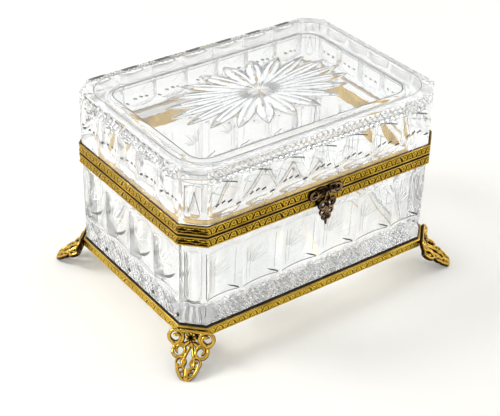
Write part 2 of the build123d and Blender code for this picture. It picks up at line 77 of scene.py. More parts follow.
FLUTED_FRONT = 172.51        # length of the front and back between the cants
FLUTED_SIDE = 112.51
FRONT_EDGES = (-FLUTED_FRONT / 2, -60.0, -30.0, 0.0, 30.0, 60.0, FLUTED_FRONT / 2)
SIDE_EDGES = tuple(FLUTED_SIDE * (i / 4 - 0.5) for i in range(5))
HOLLOW_LENGTH = 173.4
HOLLOW_DEPTH = 113.4
HOLLOW_CORNER = 16.0
HOLLOW_FLOOR = 32.0
HOLLOW_EDGE = 5.0
HOLLOW_POINTS = 640
FRONT, CANT, SIDE, CORNER = range(4)


class Ring:
    """Columns round the canted outline: place, outward direction, wall and distance along it."""

    def __init__(self, length, depth, cant, corner, front, side, slant):
        half_x = length / 2
        half_y = depth / 2
        corners = [(half_x - cant, -half_y), (half_x, cant - half_y),
                   (half_x, half_y - cant), (half_x - cant, half_y)]
        corners += [(-x, -y) for x, y in corners]
        trim = corner * math.tan(math.radians(22.5))
        place, out, wall, along = [], [], [], []
        for i in range(8):
            start = np.array(corners[i - 1])
            end = np.array(corners[i])
            run = np.linalg.norm(end - start)
            way = (end - start) / run
            normal = np.array((way[1], -way[0]))
            steps = (front, slant, side, slant)[i % 4]
            for u in np.clip(steps, trim - run / 2, run / 2 - trim):
                place.append((start + end) / 2 + way * u)
                out.append(normal)
                wall.append((FRONT, CANT, SIDE, CANT)[i % 4])
                along.append(u)
            turned = np.array((normal[0] - normal[1], normal[0] + normal[1])) / math.sqrt(2)
            bend = (normal + turned) / np.linalg.norm(normal + turned)
            place.append(end - way * trim - normal * corner + corner * bend)
            out.append(bend)
            wall.append(CORNER)
            along.append(0.0)
        self.place = np.array(place)
        self.out = np.array(out)
        self.wall = np.array(wall)
        self.along = np.array(along)
        gaps = np.linalg.norm(self.place - np.roll(self.place, 1, 0), axis=1)
        self.travel = np.cumsum(gaps) - gaps[0]
        self.girth = gaps.sum()
        self.count = len(place)

    def row(self, z, depth):
        """One row of points at height z, moved in by depth."""
        flat = self.place - self.out * np.reshape(depth * np.ones(self.count), (-1, 1))
        return np.column_stack((flat, z * np.ones(self.count)))

    def between(self):
        """The same walls, measured halfway between neighbouring columns."""
        half = copy.copy(self)
        half.along = (self.along + np.roll(self.along, -1)) / 2
        return half


def divided(edges, parts):
    """Columns that divide each stretch between two edges in equal parts."""
    columns = []
    for left, right, count in zip(edges, edges[1:], parts):
        columns += list(np.linspace(left, right, count, endpoint=False))
    return np.array(columns + [edges[-1]])


def strips(rows, first, close=False, middle=None):
    """Faces between closed rows of points, numbered from first. middle picks each quad's diagonal."""
    faces = []
    count = len(rows[0])
    for j in range(len(rows) if close else len(rows) - 1):
        low = first + j * count
        high = first + ((j + 1) % len(rows)) * count
        for i in range(count):
            k = (i + 1) % count
            if middle is None or middle[j] is None:
                faces.append((low + i, low + k, high + k, high + i))
            elif middle[j][i]:
                faces.append((low + i, low + k, high + k))
                faces.append((low + i, high + k, high + i))
            else:
                faces.append((low + i, low + k, high + i))
                faces.append((low + k, high + k, high + i))
    return faces


def diagonals(ring, cut, low, high, here, over):
    """For each quad between two rows of a cut band, the diagonal that follows the cut best."""
    true = cut(ring.between(), (low + high) / 2)
    rising = (here + np.roll(over, -1)) / 2
    falling = (np.roll(here, -1) + over) / 2
    return np.abs(rising - true) <= np.abs(falling - true)


def made(name, points, faces, crease=25.0, crest=None):
    """A mesh object from points in millimetres, smooth except at creases."""
    mesh = bpy.data.meshes.new(name)
    mesh.from_pydata([tuple(p) for p in np.asarray(points) * MM], [], faces)
    if crest is not None:
        layer = mesh.attributes.new("crest", "FLOAT", "POINT")
        layer.data.foreach_set("value", np.asarray(crest, dtype=np.float32))
    shell = bmesh.new()
    shell.from_mesh(mesh)
    bmesh.ops.remove_doubles(shell, verts=shell.verts, dist=1e-7)
    bmesh.ops.recalc_face_normals(shell, faces=shell.faces)
    if shell.calc_volume(signed=True) < 0:
        bmesh.ops.reverse_faces(shell, faces=shell.faces)
    shell.to_mesh(mesh)
    shell.free()
    mesh.shade_smooth()
    mesh.set_sharp_from_angle(angle=math.radians(crease))
    for face in mesh.polygons:
        if len(face.vertices) > 8:
            face.use_smooth = False
    obj = bpy.data.objects.new(name, mesh)
    bpy.context.scene.collection.objects.link(obj)
    return obj


def hollow_cut(x, half, depth):
    """How deep a round-bottomed flute is at x from its middle."""
    radius = (half ** 2 + depth ** 2) / (2 * depth)
    return np.maximum(0, np.sqrt(np.maximum(0, radius ** 2 - x ** 2)) - radius + depth)


def flutes(ring, front_edges, side_edges, depth):
    """Depth of the walls' flutes at every column."""
    cut = np.zeros(ring.count)
    for kind, edges in ((FRONT, front_edges), (SIDE, side_edges)):
        for left, right in zip(edges, edges[1:]):
            here = (ring.wall == kind) & (ring.along >= left) & (ring.along <= right)
            x = ring.along[here] - (left + right) / 2
            cut[here] = hollow_cut(x, (right - left) / 2, depth)
    return cut


def cant_flute(ring):
    """Depth of the single flute down each cant."""
    return np.where(ring.wall == CANT, hollow_cut(ring.along, CANT_FLUTE_HALF, CANT_FLUTE_DEPTH), 0)


def groove(lines):
    """V-groove shape, 1 on each whole number of lines and 0 halfway between."""
    return 1 - 2 * np.abs(lines - np.round(lines))


def crossed(along, up, pitch_along, pitch_up):
    """Two families of slanting grooves that leave pointed diamonds, from 0 to 1 deep."""
    return np.maximum(groove(along / pitch_along + up / pitch_up),
                      groove(along / pitch_along - up / pitch_up))


def faded(ring, cut):
    """Crossed cuts that run out at the ends of each wall and leave the cants plain."""
    run = np.where(ring.wall == FRONT, FLUTED_FRONT, FLUTED_SIDE) / 2
    fade = np.clip((run - np.abs(ring.along)) / CUT_FADE, 0, 1)
    return np.where((ring.wall == FRONT) | (ring.wall == SIDE), cut * fade, 0)


def hollow_reach(angle, shrink):
    """Distance from the middle to the hollow's rounded outline, which is moved in by shrink."""
    half_x = HOLLOW_LENGTH / 2 - shrink
    half_y = HOLLOW_DEPTH / 2 - shrink
    corner = HOLLOW_CORNER - shrink
    way_x = abs(math.cos(angle))
    way_y = abs(math.sin(angle))
    if way_x > 1e-9 and half_x * way_y / way_x <= half_y - corner:
        return half_x / way_x
    if way_y > 1e-9 and half_y * way_x / way_y <= half_x - corner:
        return half_y / way_y
    lean = way_x * (half_x - corner) + way_y * (half_y - corner)
    inside_corner = lean ** 2 - (half_x - corner) ** 2 - (half_y - corner) ** 2 + corner ** 2
    return lean + math.sqrt(max(0, inside_corner))


def hollow_row(z, shrink):
    """One row of points round the hollow."""
    turns = np.arange(HOLLOW_POINTS) * 2 * math.pi / HOLLOW_POINTS
    reach = np.array([hollow_reach(t, shrink) for t in turns])
    return np.column_stack((reach * np.cos(turns), reach * np.sin(turns), z * np.ones(HOLLOW_POINTS)))


def hollow_wall(rim, end):
    """Rows along a hollow, from its eased rim to its round edge at the floor or ceiling."""
    way = np.sign(end - rim)
    rows = [hollow_row(rim, -GROUND_EDGE), hollow_row(rim + way * GROUND_EDGE, 0)]
    for turn in np.linspace(0, 90, 9):
        left = HOLLOW_EDGE * (1 - math.sin(math.radians(turn)))
        rows.append(hollow_row(end - way * left, HOLLOW_EDGE * (1 - math.cos(math.radians(turn)))))
    return rows


def joined_rings(outer, outer_first, inner, inner_first, flip):
    """Flat faces between two rows with different numbers of points."""
    full = 2 * math.pi

    def turns(row):
        turn = np.unwrap(np.arctan2(row[:, 1], row[:, 0]))
        return turn - full * round(turn[0] / full)
    outer_turn = turns(outer)
    inner_turn = turns(inner)
    first = outer_turn[0]
    start = int(np.argmin(np.abs(np.mod(inner_turn - first + math.pi, full) - math.pi)))
    inner_turn = first + np.mod(np.roll(inner_turn, -start) - first + 1e-9, full)
    inner_turn[0] = first
    faces = []
    i = j = 0
    while i < len(outer) or j < len(inner):
        next_outer = outer_turn[i + 1] if i + 1 < len(outer) else first + full
        next_inner = inner_turn[j + 1] if j + 1 < len(inner) else first + full
        here = outer_first + i % len(outer)
        across = inner_first + (j + start) % len(inner)
        if j >= len(inner) or (i < len(outer) and next_outer <= next_inner):
            faces.append((here, outer_first + (i + 1) % len(outer), across))
            i += 1
        else:
            faces.append((here, inner_first + (j + 1 + start) % len(inner), across))
            j += 1
    return [face[::-1] for face in faces] if flip else faces


def flat_cap(loop, first):
    """Points and faces that close a loop round the middle with a flat sheet of narrowing rows."""
    rows = [loop * (share, share, 1) for share in (1, 0.66, 0.33)]
    last = first + 2 * len(loop)
    faces = strips(rows, first)
    faces += [(last + i, last + (i + 1) % len(loop), last + len(loop)) for i in range(len(loop))]
    return np.vstack(rows + [[(0, 0, loop[0][2])]]), faces


def swept(surface, path_x, path_y, half_width, middle, half_depth, sides=10, closed=False):
    """A bar of rounded section along a path in a drawing, set on a surface, with its crests, which paint
    its top lit and its sides and back shaded.
    """
    path_x, path_y = np.asarray(path_x), np.asarray(path_y)
    count = len(path_x)
    half_width = np.broadcast_to(half_width, count)
    if closed:
        along_x = np.roll(path_x, -1) - np.roll(path_x, 1)
        along_y = np.roll(path_y, -1) - np.roll(path_y, 1)
    else:
        along_x, along_y = np.gradient(path_x), np.gradient(path_y)
    length = np.hypot(along_x, along_y)
    points, crest = [], []
    for i in range(sides):
        turn = 2 * math.pi * i / sides
        aside = half_width * math.cos(turn)
        rise = middle + half_depth * math.sin(turn)
        points.append(surface(path_x - aside * along_y / length,
                              path_y + aside * along_x / length, rise))
        # painted light: 1 on top of the section as a highlight, falling to 0 as shade down the sides and
        # back
        crest.append(np.full(count, (0.5 + 0.5 * math.sin(turn)) ** 1.8))
    faces = tube_faces(count, sides, closed)
    if not closed:
        faces.append(tuple(range(sides)))
        faces.append(tuple((count - 1) * sides + j for j in reversed(range(sides))))
    return np.stack(points, axis=1).reshape(-1, 3), faces, np.stack(crest, axis=1).reshape(-1)


def tube_faces(count, sides, closed):
    """Faces round a tube of count sections with this many sides."""
    faces = []
    for i in range(count if closed else count - 1):
        here, there = i * sides, (i + 1) % count * sides
        for j in range(sides):
            k = (j + 1) % sides
            faces.append((here + j, here + k, there + k, there + j))
    return faces


def gathered(parts):
    """Several shells as one list of points, faces and crests."""
    points, faces, crest, first = [], [], [], 0
    for some_points, some_faces, some_crest in parts:
        points.append(some_points)
        faces += [tuple(first + i for i in face) for face in some_faces]
        crest.append(some_crest)
        first += len(some_points)
    return np.vstack(points), faces, np.concatenate(crest)


def add(tree, kind, sockets=None, operation=None):
    """A new node. Each input gets its value, or is joined to the output that feeds it."""
    node = tree.nodes.new("ShaderNode" + kind)
    if operation:
        node.operation = operation
    for key, value in (sockets or {}).items():
        if isinstance(value, bpy.types.NodeSocket):
            tree.links.new(value, node.inputs[key])
        else:
            node.inputs[key].default_value = value
    return node


def new_finish(name):
    """A new material and its node tree, empty."""
    mat = bpy.data.materials.new(name)
    mat.use_nodes = True
    mat.node_tree.nodes.clear()
    return mat, mat.node_tree


def noise(tree, scale, detail=2):
    """Clouds that are fixed to the piece."""
    place = add(tree, "TexCoord").outputs["Object"]
    return add(tree, "TexNoise", {"Vector": place, "Scale": scale, "Detail": detail}).outputs["Fac"]


def on_crest(tree, cloud, share):
    """How far a place stands out, or a line's shade, which paints it lit or shaded, clouded by a share."""
    spread = add(tree, "Math", {0: cloud, 1: share}, "MULTIPLY").outputs["Value"]
    height = add(tree, "Attribute")
    height.attribute_name = "crest"
    return add(tree, "Math", {0: spread, 1: height.outputs["Fac"]}, "ADD").outputs["Value"]


def ramp(tree, feed, *stops):
    """Colours that follow the feed, from (place, colour) stops in rising order."""
    node = add(tree, "ValToRGB", {"Fac": feed})
    elements = node.color_ramp.elements
    for element, (place, colour) in zip(elements, (stops[0], stops[-1])):
        element.position = place
        element.color = (*colour, 1)
    for place, colour in stops[1:-1]:
        elements.new(place).color = (*colour, 1)
    return node.outputs["Color"]


def ranged(tree, feed, low, high, feed_low=0.0, feed_high=1.0):
    """A value that follows the feed between two limits."""
    limits = {"From Min": feed_low, "From Max": feed_high, "To Min": low, "To Max": high}
    return add(tree, "MapRange", {"Value": feed, **limits}).outputs["Result"]


def uneven(tree, feed, strength, distance):
    """Fine unevenness of a surface."""
    return add(tree, "Bump", {"Height": feed, "Strength": strength,
                              "Distance": distance}).outputs["Normal"]


def coat(tree, sockets):
    """The material's surface as one coat."""
    add(tree, "OutputMaterial", {"Surface": add(tree, "BsdfPrincipled", sockets).outputs["BSDF"]})


def crystal_finish(name):
    """Clear lead crystal: polished, with a faint ripple and thin smears that dull it in patches."""
    mat, tree = new_finish(name)
    smear = noise(tree, 45, 6)
    wave = noise(tree, 120)
    glass = add(tree, "BsdfPrincipled", {
        "Base Color": (0.985, 0.992, 1.0, 1), "Transmission Weight": 0.92, "IOR": 1.54,
        "Roughness": ranged(tree, smear, 0.0, 0.06, 0.5, 0.8),
        "Normal": uneven(tree, wave, 0.05, 0.0004)})
    clear = add(tree, "BsdfTransparent", {"Color": (0.93, 0.94, 0.95, 1)})
    mix = add(tree, "MixShader", {"Fac": add(tree, "LightPath").outputs["Is Shadow Ray"],
                                  1: glass.outputs["BSDF"], 2: clear.outputs["BSDF"]})
    add(tree, "OutputMaterial", {"Surface": mix.outputs["Shader"]})
    return mat


def block_cut(along, z, pitch):
    """Depth of the block's crossed mitres, with fine diamonds between."""
    up = z - BLOCK_MIDDLE
    large = BLOCK_CUT_DEPTH * np.maximum(0, 2 * crossed(along, up, pitch, BLOCK_RISE) - 1)
    return np.maximum(large, FINE_CUT_DEPTH * crossed(along, up, pitch / 4, BLOCK_RISE / 4))


def body_cuts(ring, z):
    """The cuts of the block under the flutes, at every column."""
    pitch = np.where(ring.wall == FRONT, BLOCK_PITCH_FRONT, BLOCK_PITCH_SIDE)
    return faded(ring, block_cut(ring.along, z, pitch))


def glass_ring(front_edges, front_parts, side_edges, side_parts):
    """Columns round the glass, close together where it is cut."""
    return Ring(BODY_LENGTH, BODY_DEPTH, GLASS_CANT, GROUND_EDGE, divided(front_edges, front_parts),
                divided(side_edges, side_parts), divided(CANT_EDGES, (3, 16, 3)))


body_ring = glass_ring(FRONT_EDGES, (28, 32, 32, 32, 32, 28), SIDE_EDGES, (32,) * 4)
wall_flutes = flutes(body_ring, FRONT_EDGES, SIDE_EDGES, BODY_FLUTE_DEPTH)
down_cant = cant_flute(body_ring)


def body_depth(z, above_shoulder):
    """How deep the body's outside is cut in at height z."""
    run_out = max(0, z - (BODY_FLUTE_TOP - FLUTE_RUN_OUT)) ** 2 / FLUTE_RUN_OUT ** 2
    rounded = max(0, CANT_FLUTE_FOOT + CANT_FLUTE_HALF - z)
    across = np.sqrt(np.maximum(0, 1 - (rounded / CANT_FLUTE_HALF) ** 2))
    foot = np.where(np.abs(body_ring.along) <= CANT_FLUTE_HALF * across + 0.01, down_cant, 0)
    cant = np.maximum(0, foot - CANT_FLUTE_DEPTH * run_out) if z > CANT_FLUTE_FOOT else 0 * foot
    if above_shoulder:
        return np.maximum(0, wall_flutes - BODY_FLUTE_DEPTH * run_out) + cant
    if BLOCK_CUT_FROM < z < BLOCK_CUT_TO:
        return body_cuts(body_ring, z) + cant
    return cant


levels = [(BODY_BOTTOM, 0), (BLOCK_CUT_FROM, 0)]
levels += [(z, 0) for z in np.linspace(BLOCK_CUT_FROM, BLOCK_CUT_TO, 21)[1:]]
levels += [(BODY_SHOULDER, 0), (BODY_SHOULDER, 1)]
levels += [(z, 1) for z in np.linspace(BODY_SHOULDER, BODY_FLUTE_TOP - FLUTE_RUN_OUT, 12)[1:]]
levels += [(z, 1) for z in np.linspace(BODY_FLUTE_TOP - FLUTE_RUN_OUT, BODY_FLUTE_TOP, 10)[1:]]
levels += [(BODY_SKIRT, 1), (BODY_SKIRT + SET_IN, 1), (BODY_RIM - GROUND_EDGE, 1)]
depths = [body_depth(z, above) - (SET_IN if z > BODY_SKIRT else 0) for z, above in levels]
centres = []
for j in range(len(levels) - 1):
    (z, above), (z_next, _) = levels[j:j + 2]
    in_block = not above and z_next <= BLOCK_CUT_TO
    centres.append(diagonals(body_ring, body_cuts, z, z_next, depths[j], depths[j + 1])
                   if in_block else None)
outside = [body_ring.row(z, d) for (z, _), d in zip(levels, depths)]
outside.append(body_ring.row(BODY_RIM, GROUND_EDGE))
centres.append(None)
inside = hollow_wall(BODY_RIM, HOLLOW_FLOOR)
points = np.vstack(outside + inside)
outside_count = len(outside) * body_ring.count
faces = strips(outside, 0, middle=centres)
faces += joined_rings(outside[-1], outside_count - body_ring.count, inside[0], outside_count, False)
faces += strips(inside, outside_count)
under = hollow_row(BODY_BOTTOM, 0)
faces += joined_rings(outside[0], 0, under, len(points), True)
for loop in (under, inside[-1]):
    cap_points, cap_faces = flat_cap(loop, len(points))
    points = np.vstack((points, cap_points))
    faces += cap_faces
crystal_body = made("crystal_body", points, faces)
crystal_body.data.materials.append(crystal_finish("crystal_body_glass"))
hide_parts("glass_body")
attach(crystal_body, "casket")

# Thin lines in the crystal, painted dark to white for refractions, reflections and shade, with some dust
# in the
# cuts: round the shoulder, down the corners and in the block. Paths are places along a wall and heights,
# then come half widths and shades. 0 is dark.
LINE_DEPTH = 0.08
LINE_SIDES = 6
WEDGE = ((-9.7, 48.4), (-7.0, 46.9), (-4.5, 45.7), (-2.2, 44.4))      # from a flute's right edge
SIDE_MARKS = ((((-9.4, 47.6), (-4.0, 48.5), (-0.2, 50.6), (4.0, 54.0), (7.5, 57.8)),
               (0.15, 0.8, 1.1, 0.8, 0.15), 0.22),                    # from a flute's middle
              (((-8.0, 40.5), (2.0, 33.5), (5.0, 34.5)), (0.2, 0.5, 0.2), 0.35),
              (((11.4, 29.4), (13.6, 31.6)), 1.2, 0.0))
FAN_HEIGHT = 57.5
FAN_RAYS = 9
FAN_FROM = 15.0              # degrees
FAN_STEP = 11.0
BLOCK_STROKES = ((0.42, 1.0), (0.14, 0.35), (0.3, 1.0))
CANT_UPRIGHTS = ((-8.2, 0.13, 0.5), (-5.2, 0.16, 0.35), (-3.4, 0.1, 0.6), (5.2, 0.13, 0.5),
                 (8.2, 0.26, 0.08))
CANT_FOOT_LINE = ((-5.0, 41.8), (0.0, 41.3), (5.0, 41.6))
CANT_CURL = ((6.5, 41.5), (8.1, 38.0), (7.4, 32.0))
CANT_SLANTS = ((-6.2, 1.6, 0.7, 1.0), (-3.4, 1.2, 0.14, 0.35), (-1.6, 0.8, 0.9, 1.0),
               (1.0, 0.2, 0.14, 0.45), (3.2, -0.8, 0.7, 1.0), (5.6, -1.4, 0.2, 0.3))


def flute_at(along, edges, depth):
    """Depth of a wall's flutes at one place along it."""
    edges = np.asarray(edges)
    place = np.clip(np.searchsorted(edges, along) - 1, 0, len(edges) - 2)
    half = (edges[place + 1] - edges[place]) / 2
    return hollow_cut(along - edges[place] - half, half, depth)


def on_side(side, cut):
    """Places on one wall, counted round from the front, that follow its cut."""
    half = (BODY_LENGTH if side % 2 else BODY_DEPTH) / 2
    way_x, way_y = round(math.cos(math.pi / 2 * side)), round(math.sin(math.pi / 2 * side))

    def surface(along, z, rise):
        out = cut(along, z) - half - rise
        return np.stack([along * way_x - out * way_y, along * way_y + out * way_x, z + 0 * out], axis=-1)
    return surface


def on_wall(side, edges, depth, low, high):
    """Places on one wall that follow its flutes between two heights."""
    return on_side(side, lambda along, z: np.where((z > low) & (z < high),
                                                   flute_at(along, edges, depth), 0))


def on_cant(side, low, high):
    """Places on one cant, counted round from the front left, that follow its flute."""
    lean = math.pi / 4 + math.pi / 2 * (side + 2)
    out = np.array((math.cos(lean), math.sin(lean)))
    middle = np.array((BODY_LENGTH - GLASS_CANT, BODY_DEPTH - GLASS_CANT)) / 2 * np.sign(out)

    def surface(along, z, rise):
        cut = np.where((z > low) & (z < high), hollow_cut(along, CANT_FLUTE_HALF, CANT_FLUTE_DEPTH), 0)
        x = middle[0] - out[1] * along + out[0] * (rise - cut)
        y = middle[1] + out[0] * along + out[1] * (rise - cut)
        return np.stack([x, y, z + 0 * x], axis=-1)
    return surface


def draw(lines, surface, path, half_width, shade, start=0.0, middle=-0.02):
    """Adds a thin line, painted dark or bright by its shade, along a path that is counted from start."""
    along, z = np.array(path, dtype=float).T
    shell, shell_faces, _ = swept(surface, along + start, z, half_width, middle, LINE_DEPTH, LINE_SIDES)
    lines.append((shell, shell_faces, np.full(len(shell), shade)))


def dust_and_light_finish():
    """Painted refractions, reflections and shade along a line, with some dust: black to white by its
    shade, darker or lighter along it.
    """
    mat, tree = new_finish("dust_and_light_line")
    cloud = noise(tree, 260, 3)
    colour = ramp(tree, on_crest(tree, cloud, 0.3), (0.1, (0.012, 0.012, 0.009)),
                  (0.96, (0.60, 0.60, 0.58)), (1.0, (0.95, 0.95, 0.95)))
    coat(tree, {"Base Color": colour, "Roughness": 0.7, "Normal": uneven(tree, cloud, 0.3, 0.0001)})
    return mat


def light_line_object(name, parts, body):
    """One object from fine lines."""
    line_points, line_faces, crest = gathered(parts)
    obj = made(name, line_points, line_faces, 60.0, crest)
    obj.data.materials.append(dust_and_light_line)
    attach(obj, body)


def flute_foot(lines, wall, left, right, front):
    """The shoulder's dark line under one flute, dust and painted shade, and the painted refraction marks
    that the flute shows over it.
    """
    along = np.linspace(left + 0.5, right - 1.8, 14)
    line = np.column_stack((along, np.full(14, BODY_SHOULDER + 0.28)))
    draw(lines, wall, line, 0.26 if front else 0.14, 0.05)
    if not front:
        for path, half_width, shade in SIDE_MARKS:
            draw(lines, wall, path, half_width, shade, (left + right) / 2)
        return
    draw(lines, wall, WEDGE, (0.12, 0.45, 0.55, 0.4), 0.02, right)
    for start, top, shade in ((left + 3.5, 72.0, 0.6), (left + 6.2, 66.0, 0.7), (right - 5.0, 74.0, 0.65)):
        draw(lines, wall, ((0, BODY_SHOULDER + 5), (0.6, top)), 0.14, shade, start)


def fan(lines, wall, left, right):
    """Nine painted rays of refracted light that spread from a point in a flute, bright and grey by turns.
    """
    middle = np.array((left + 0.18 * (right - left), FAN_HEIGHT))
    for i in range(FAN_RAYS):
        turn = math.radians(FAN_FROM + FAN_STEP * i)
        way = np.array((math.cos(turn), math.sin(turn)))
        ray = (middle + 3.0 * way, middle + (14.5 - 2.5 * (i % 3)) * way)
        draw(lines, wall, ray, 0.26 if i % 2 else 0.12, 1.0 if i % 2 else 0.55)


def block_strokes(lines, side, run):
    """Bright and grey strokes along the block's small grooves: painted glints and shade of its facets."""
    pitch = BLOCK_PITCH_SIDE if side % 2 else BLOCK_PITCH_FRONT
    block = on_side(side, lambda along, z: block_cut(along, z, pitch))
    step, rise = pitch / 4, BLOCK_RISE / 4
    columns = round(run / step)
    for i, j, lean in itertools.product(range(-columns, columns), range(-2, 2), (-1, 1)):
        pick = (7 * i + 5 * j + 3 * lean + i * i) % 5
        start = np.array(((i + (0.5 if j % 2 else 0)) * step, BLOCK_MIDDLE + j * rise))
        stroke = (start, start + (lean * step / 2, rise / 2), start + (lean * step, rise))
        if pick < len(BLOCK_STROKES) and max(abs(x) for x, z in stroke) <= run:
            draw(lines, block, stroke, *BLOCK_STROKES[pick], middle=0.0)


# the lines' material: painted refractions, highlights and shade, with some dust
dust_and_light_line = dust_and_light_finish()
body_lines = []
for side in range(4):
    edges = SIDE_EDGES if side % 2 else FRONT_EDGES
    wall = on_wall(side, edges, BODY_FLUTE_DEPTH, BODY_SHOULDER - 0.6, BODY_FLUTE_TOP - FLUTE_RUN_OUT)
    for left, right in zip(edges, edges[1:]):
        flute_foot(body_lines, wall, left, right, side % 2 == 0)
    for left, right in zip(edges, edges[1:]):
        fan(body_lines, wall, left, right)
    block_strokes(body_lines, side, edges[-1] - 2.0)
    cant = on_cant(side, CANT_FLUTE_FOOT, BODY_FLUTE_TOP)
    for along, half_width, shade in CANT_UPRIGHTS:
        draw(body_lines, cant, ((0, 45.0), (0, 62.0), (0, 78.0)), half_width, shade, along)
    draw(body_lines, cant, CANT_FOOT_LINE, 0.3, 0.1)
    draw(body_lines, cant, CANT_CURL, 0.24, 0.15)
    for along, lean, half_width, shade in CANT_SLANTS:
        draw(body_lines, cant, ((0, 26.5), (0.3 * lean, 32.0), (lean, 38.5)), half_width, shade, along)
light_line_object("crystal_body_lines", body_lines, "casket")

# ---- Gilt rim band of the body ---------------------------------------------------
# A brass channel, gilt and hand-engraved with a running leaf scroll between two plain
# polished beads. It is set over the glass rim in plaster.
BAND_LENGTH = 200.0
BAND_DEPTH = 140.0
BAND_CANT = 13.0
BAND_CORNER = 1.2
BODY_BAND_LOW = 83.9
BODY_BAND_HIGH = 90.1
BEAD_RADIUS = 0.47
PANEL_INSET = 0.31
RELIEF = 0.29
STRIP_BACK = 0.2             # the engraved strip's back, behind its panel
LEAF_LENGTH = 8.6
STROKES_IN_LEAF = 4
ROSETTE_RADIUS = 1.15
ROSETTE_EDGE = 1.75
FINE_STEP = 0.30             # columns of engraved rings
COARSE_STEP = 4.0            # columns of beads and seams


def stepped(span, step):
    """Columns along a wall at about one step."""
    return np.linspace(-span / 2, span / 2, round(span / step) + 1)


def band_ring(length, depth, cant, step):
    """Columns round a band."""
    return Ring(length, depth, cant, BAND_CORNER, stepped(length - 2 * cant, step),
                stepped(depth - 2 * cant, step), stepped(cant * math.sqrt(2), step))


def bump_at(distance, half_width):
    """A rounded ridge, 1 on its line and 0 at half_width from it."""
    return np.sqrt(np.clip(1 - (distance / half_width) ** 2, 0, 1))


def engraved_leaves(ring, v):
    """Height of the engraved panel at v, from -1 to 1 across it: slanted leaves and rosettes."""
    leaves = round(ring.girth / LEAF_LENGTH)
    phase = ring.travel / ring.girth * leaves
    # the engraver's hand isn't quite even
    phase = phase + 0.07 * np.sin(ring.travel / 3.7) + 0.04 * np.sin(ring.travel / 1.9)
    lean = np.where(np.mod(phase, 1) < 0.5, 1, -1)
    stroke = np.mod(phase * STROKES_IN_LEAF + 0.5 * lean * v + 0.25 * lean * v ** 2, 1) - 0.5
    height = bump_at(stroke, 0.30) * bump_at(v, 1.15)
    x = (np.mod(2 * phase + 0.5, 1) - 0.5) * LEAF_LENGTH / 2
    reach = np.hypot(x, 2.1 * v)
    height = np.where(reach < ROSETTE_EDGE, bump_at(reach - ROSETTE_RADIUS, 0.42), height)
    height = np.maximum(height, bump_at(reach, 0.42))
    # the cants have two waving lines instead
    sway = 0.16 * np.sin(ring.along / 1.3)
    waves = np.maximum(bump_at(v - 0.5 - sway, 0.15), 0.8 * bump_at(v + 0.38 + sway, 0.13))
    return np.where(ring.wall == CANT, waves, height)


def round_bead(ring, z, inset, flats=8):
    """Rows of a bead that runs round a ring, and its crests."""
    rows = []
    for i in range(flats):
        turn = 2 * math.pi * i / flats
        rows.append(ring.row(z + BEAD_RADIUS * math.sin(turn), inset - BEAD_RADIUS * math.cos(turn)))
    return rows, [np.ones(ring.count)] * flats


def engraved_strip(ring, low, high, inset, rows_up=12):
    """Rows of an engraved strip, closed at its back, and how high each point stands."""
    rows, crest = [], []
    for z in np.linspace(low, high, rows_up):
        height = engraved_leaves(ring, 2 * (z - low) / (high - low) - 1)
        rows.append(ring.row(z, inset - RELIEF * height))
        crest.append(height)
    for z in (high, low):
        rows.append(ring.row(z, inset + STRIP_BACK))
        crest.append(np.zeros(ring.count))
    return rows, crest


def ringed(name, groups, body, finish, crease=40.0):
    """One gilt object from closed rows round a ring. A group is its rows and their crests."""
    rows, crests, ring_faces = [], [], []
    for some_rows, crest in groups:
        ring_faces += strips(some_rows, sum(len(row) for row in rows), close=True)
        rows += some_rows
        crests += list(crest)
    obj = made(name, np.vstack(rows), ring_faces, crease, np.concatenate(crests))
    obj.data.materials.append(finish)
    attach(obj, body)


def gilt_finish(name, bright, deep, dull, grain, start=0.4):
    """Gilt brass: painted highlights on its crests and painted shade in its hollows and down its sides,
    with dark patina there, rubbed patches and fine tool marks.
    """
    mat, tree = new_finish(name)
    # the crest value paints light: crests bright as highlights, hollows and sides dark as shade; the
    # clouds add rubbed patches
    lit_and_rubbed = on_crest(tree, noise(tree, 160, 5), 0.45)
    place = add(tree, "TexCoord").outputs["Object"]
    marks = add(tree, "TexVoronoi", {"Vector": place, "Scale": grain}).outputs["Distance"]
    coat(tree, {"Metallic": 1.0, "Base Color": ramp(tree, lit_and_rubbed, (start, deep), (1.0, bright)),
                "Roughness": ranged(tree, lit_and_rubbed, dull, dull - 0.2),
                "Normal": uneven(tree, marks, 0.35, 0.0002)})
    return mat


def plain_gilt(name, bright, deep, dull, scale):
    """Plain gilt brass on a solid piece: clouded, a little brown in patches, finely scratched."""
    mat, tree = new_finish(name)
    cloud = noise(tree, scale, 7)
    coat(tree, {"Metallic": 1.0, "Base Color": ramp(tree, cloud, (0.3, deep), (0.62, bright)),
                "Roughness": ranged(tree, cloud, dull + 0.15, dull - 0.1),
                "Normal": uneven(tree, cloud, 0.2, 0.0001)})
    return mat


def seam_shade_finish(name):
    """Painted shade in a seam, with dark grime: brown-black, with a few rubbed specks."""
    mat, tree = new_finish(name)
    specks = noise(tree, 500, 4)
    colour = ramp(tree, specks, (0.55, (0.012, 0.007, 0.003)), (0.72, (0.14, 0.08, 0.02)))
    coat(tree, {"Metallic": 0.3, "Roughness": 0.6, "Base Color": colour,
                "Normal": uneven(tree, specks, 0.3, 0.0001)})
    return mat


def refinished(node, finish):
    """The solid keeps its shape and gets this finish."""
    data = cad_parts[node].data
    data.materials.clear()
    data.materials.append(finish)


def seam(name, section, ring, body):
    """A dark ring of painted shade and grime in a gap, from its (height, inset) points."""
    rows = [ring.row(z, inset) for z, inset in section]
    ringed(name, [(rows, [np.zeros(ring.count)] * len(rows))], body, seam_shade_and_grime, 20.0)


